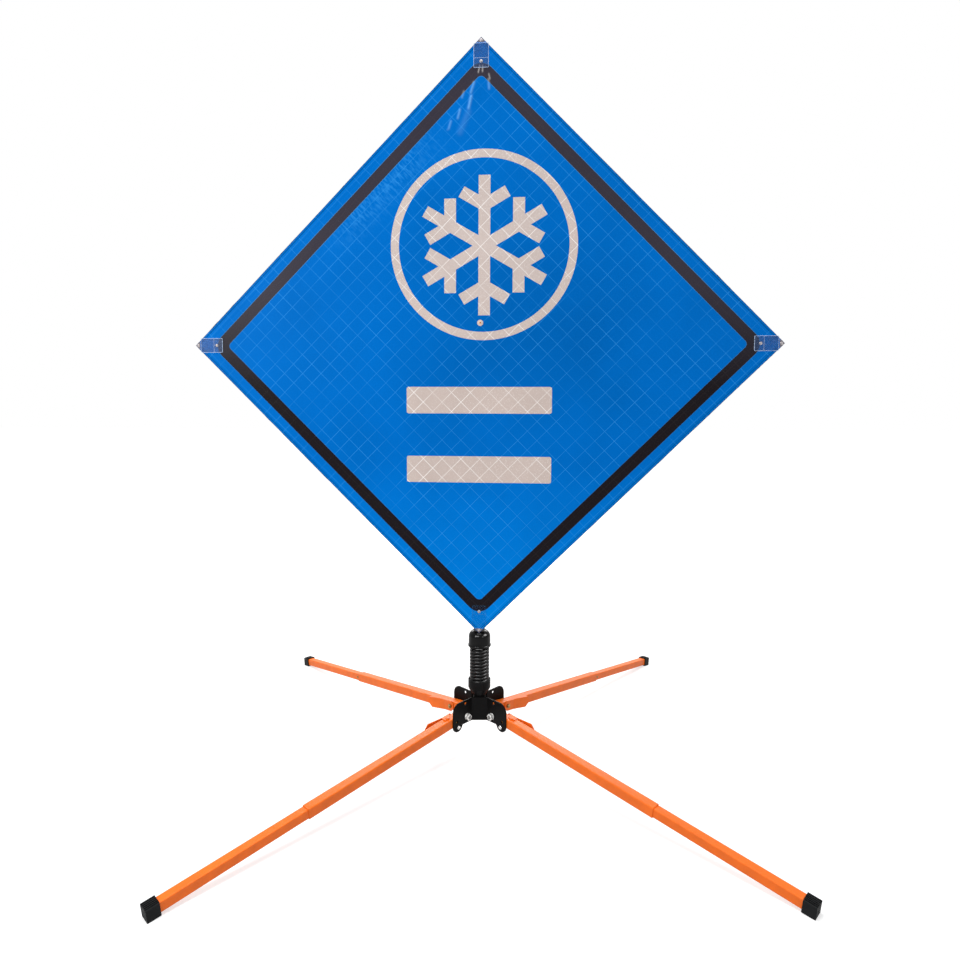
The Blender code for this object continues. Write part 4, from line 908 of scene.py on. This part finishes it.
# The studio: a white floor that fades into the white behind it, a lamp at either side in
# front, a large one overhead and a low wide one behind.
def white_floor(name, near_glow, far_glow):
    """Paper that glows for the camera and in reflections, by a strength near and one far off."""
    paper = Finish(name)
    paper.give({"Base Color": (0.55, 0.55, 0.55), "Roughness": 0.9, "Specular IOR Level": 0.0})
    away = paper.node("VectorMath", "Value", {0: paper.place}, operation="LENGTH")
    glow = paper.ranged(away, near_glow, far_glow, 0.9, 3.0, interpolation_type="SMOOTHSTEP")
    rays = paper.nodes.new("ShaderNodeLightPath").outputs
    seen = paper.maths("MAXIMUM", rays["Is Camera Ray"], rays["Is Glossy Ray"])
    light = paper.node("Emission", 0, {"Strength": paper.maths("MULTIPLY", glow, seen)})
    total = paper.node("AddShader", 0, {0: paper.shader.outputs[0], 1: light})
    paper.feed(paper.nodes["Material Output"].inputs["Surface"], total)
    return paper.material


ground = bmesh.new()
bmesh.ops.create_grid(ground, x_segments=1, y_segments=1, size=30.0)
floor_mesh = bpy.data.meshes.new("floor")
ground.to_mesh(floor_mesh)
ground.free()
floor_mesh.materials.append(white_floor("white_floor", 0.60, 0.90))
floor = bpy.data.objects.new("floor", floor_mesh)
bpy.context.collection.objects.link(floor)

world = bpy.context.scene.world or bpy.data.worlds.new("studio")
bpy.context.scene.world = world
world.use_nodes = True
nodes = world.node_tree.nodes
nodes.clear()
link = world.node_tree.links.new
rays = nodes.new("ShaderNodeLightPath").outputs
seen = rays["Is Camera Ray"]
for ray in ("Is Transmission Ray", "Is Glossy Ray"):
    either = nodes.new("ShaderNodeMath")
    either.operation = "MAXIMUM"
    link(seen, either.inputs[0])
    link(rays[ray], either.inputs[1])
    seen = either.outputs[0]
mix = nodes.new("ShaderNodeMixShader")
link(seen, mix.inputs["Fac"])
for n, strength in ((1, 0.38), (2, 1.0)):
    white = nodes.new("ShaderNodeBackground")
    white.inputs["Color"].default_value = (1.0, 1.0, 1.0, 1.0)
    white.inputs["Strength"].default_value = strength
    link(white.outputs[0], mix.inputs[n])
link(mix.outputs[0], nodes.new("ShaderNodeOutputWorld").inputs["Surface"])


def softbox(name, at, aim, size, power):
    lamp = bpy.data.lights.new(name, "AREA")
    lamp.shape = "RECTANGLE"
    lamp.size, lamp.size_y = size
    lamp.energy = power
    holder = bpy.data.objects.new(name, lamp)
    holder.location = at
    holder.rotation_euler = (Vector(aim) - Vector(at)).to_track_quat("-Z", "Y").to_euler()
    holder.visible_camera = False
    bpy.context.collection.objects.link(holder)
    return holder


softbox("key_left", (-2.3, -2.2, 2.0), (0, 0, 1.0), (0.7, 1.0), 58)
softbox("fill_right", (2.6, -3.4, 2.4), (0, 0, 0.7), (0.7, 1.0), 38)
softbox("overhead", (-0.3, 0.0, 4.2), (0, 0, 0), (2.0, 2.0), 120)
softbox("rear", (0.0, 2.8, 1.7), (0, 0, 0.1), (3.0, 0.8), 50)

# Two more lamps are seen only as highlights in the black pieces of the mast.
glossy_pieces = bpy.data.collections.new("glossy_pieces")
for piece in (coil, cap, hub_cup):
    glossy_pieces.objects.link(piece)
for sheen in (
    softbox("sheen_left", (-1.15, -1.95, 2.05), (0, 0, 0.3), (1.8, 0.8), 110),
    softbox("sheen_right", (2.35, -0.5, 2.3), (0, 0, 0.3), (1.8, 1.2), 230),
):
    sheen.visible_diffuse = False
    sheen.light_linking.receiver_collection = glossy_pieces


# The camera stands two metres off, at half the height of the whole.
camera_at = (-0.0283, -1.9329, 1.0463)
pan, tilt, roll = math.radians(-0.642), math.radians(85.944), math.radians(0.210)
camera = bpy.data.objects.new("camera", bpy.data.cameras.new("camera"))
bpy.context.collection.objects.link(camera)
camera.data.sensor_width = 36.0
camera.data.lens = 24.342
camera.data.shift_x = 0.00206
camera.data.shift_y = -0.02638
camera.data.clip_start = 0.05
camera.data.clip_end = 60.0
camera.matrix_world = (
    Matrix.Translation(camera_at) @ Matrix.Rotation(pan, 4, "Z")
    @ Matrix.Rotation(tilt, 4, "X") @ Matrix.Rotation(roll, 4, "Z")
)
bpy.context.scene.camera = camera
bpy.context.scene.view_settings.view_transform = "Standard"
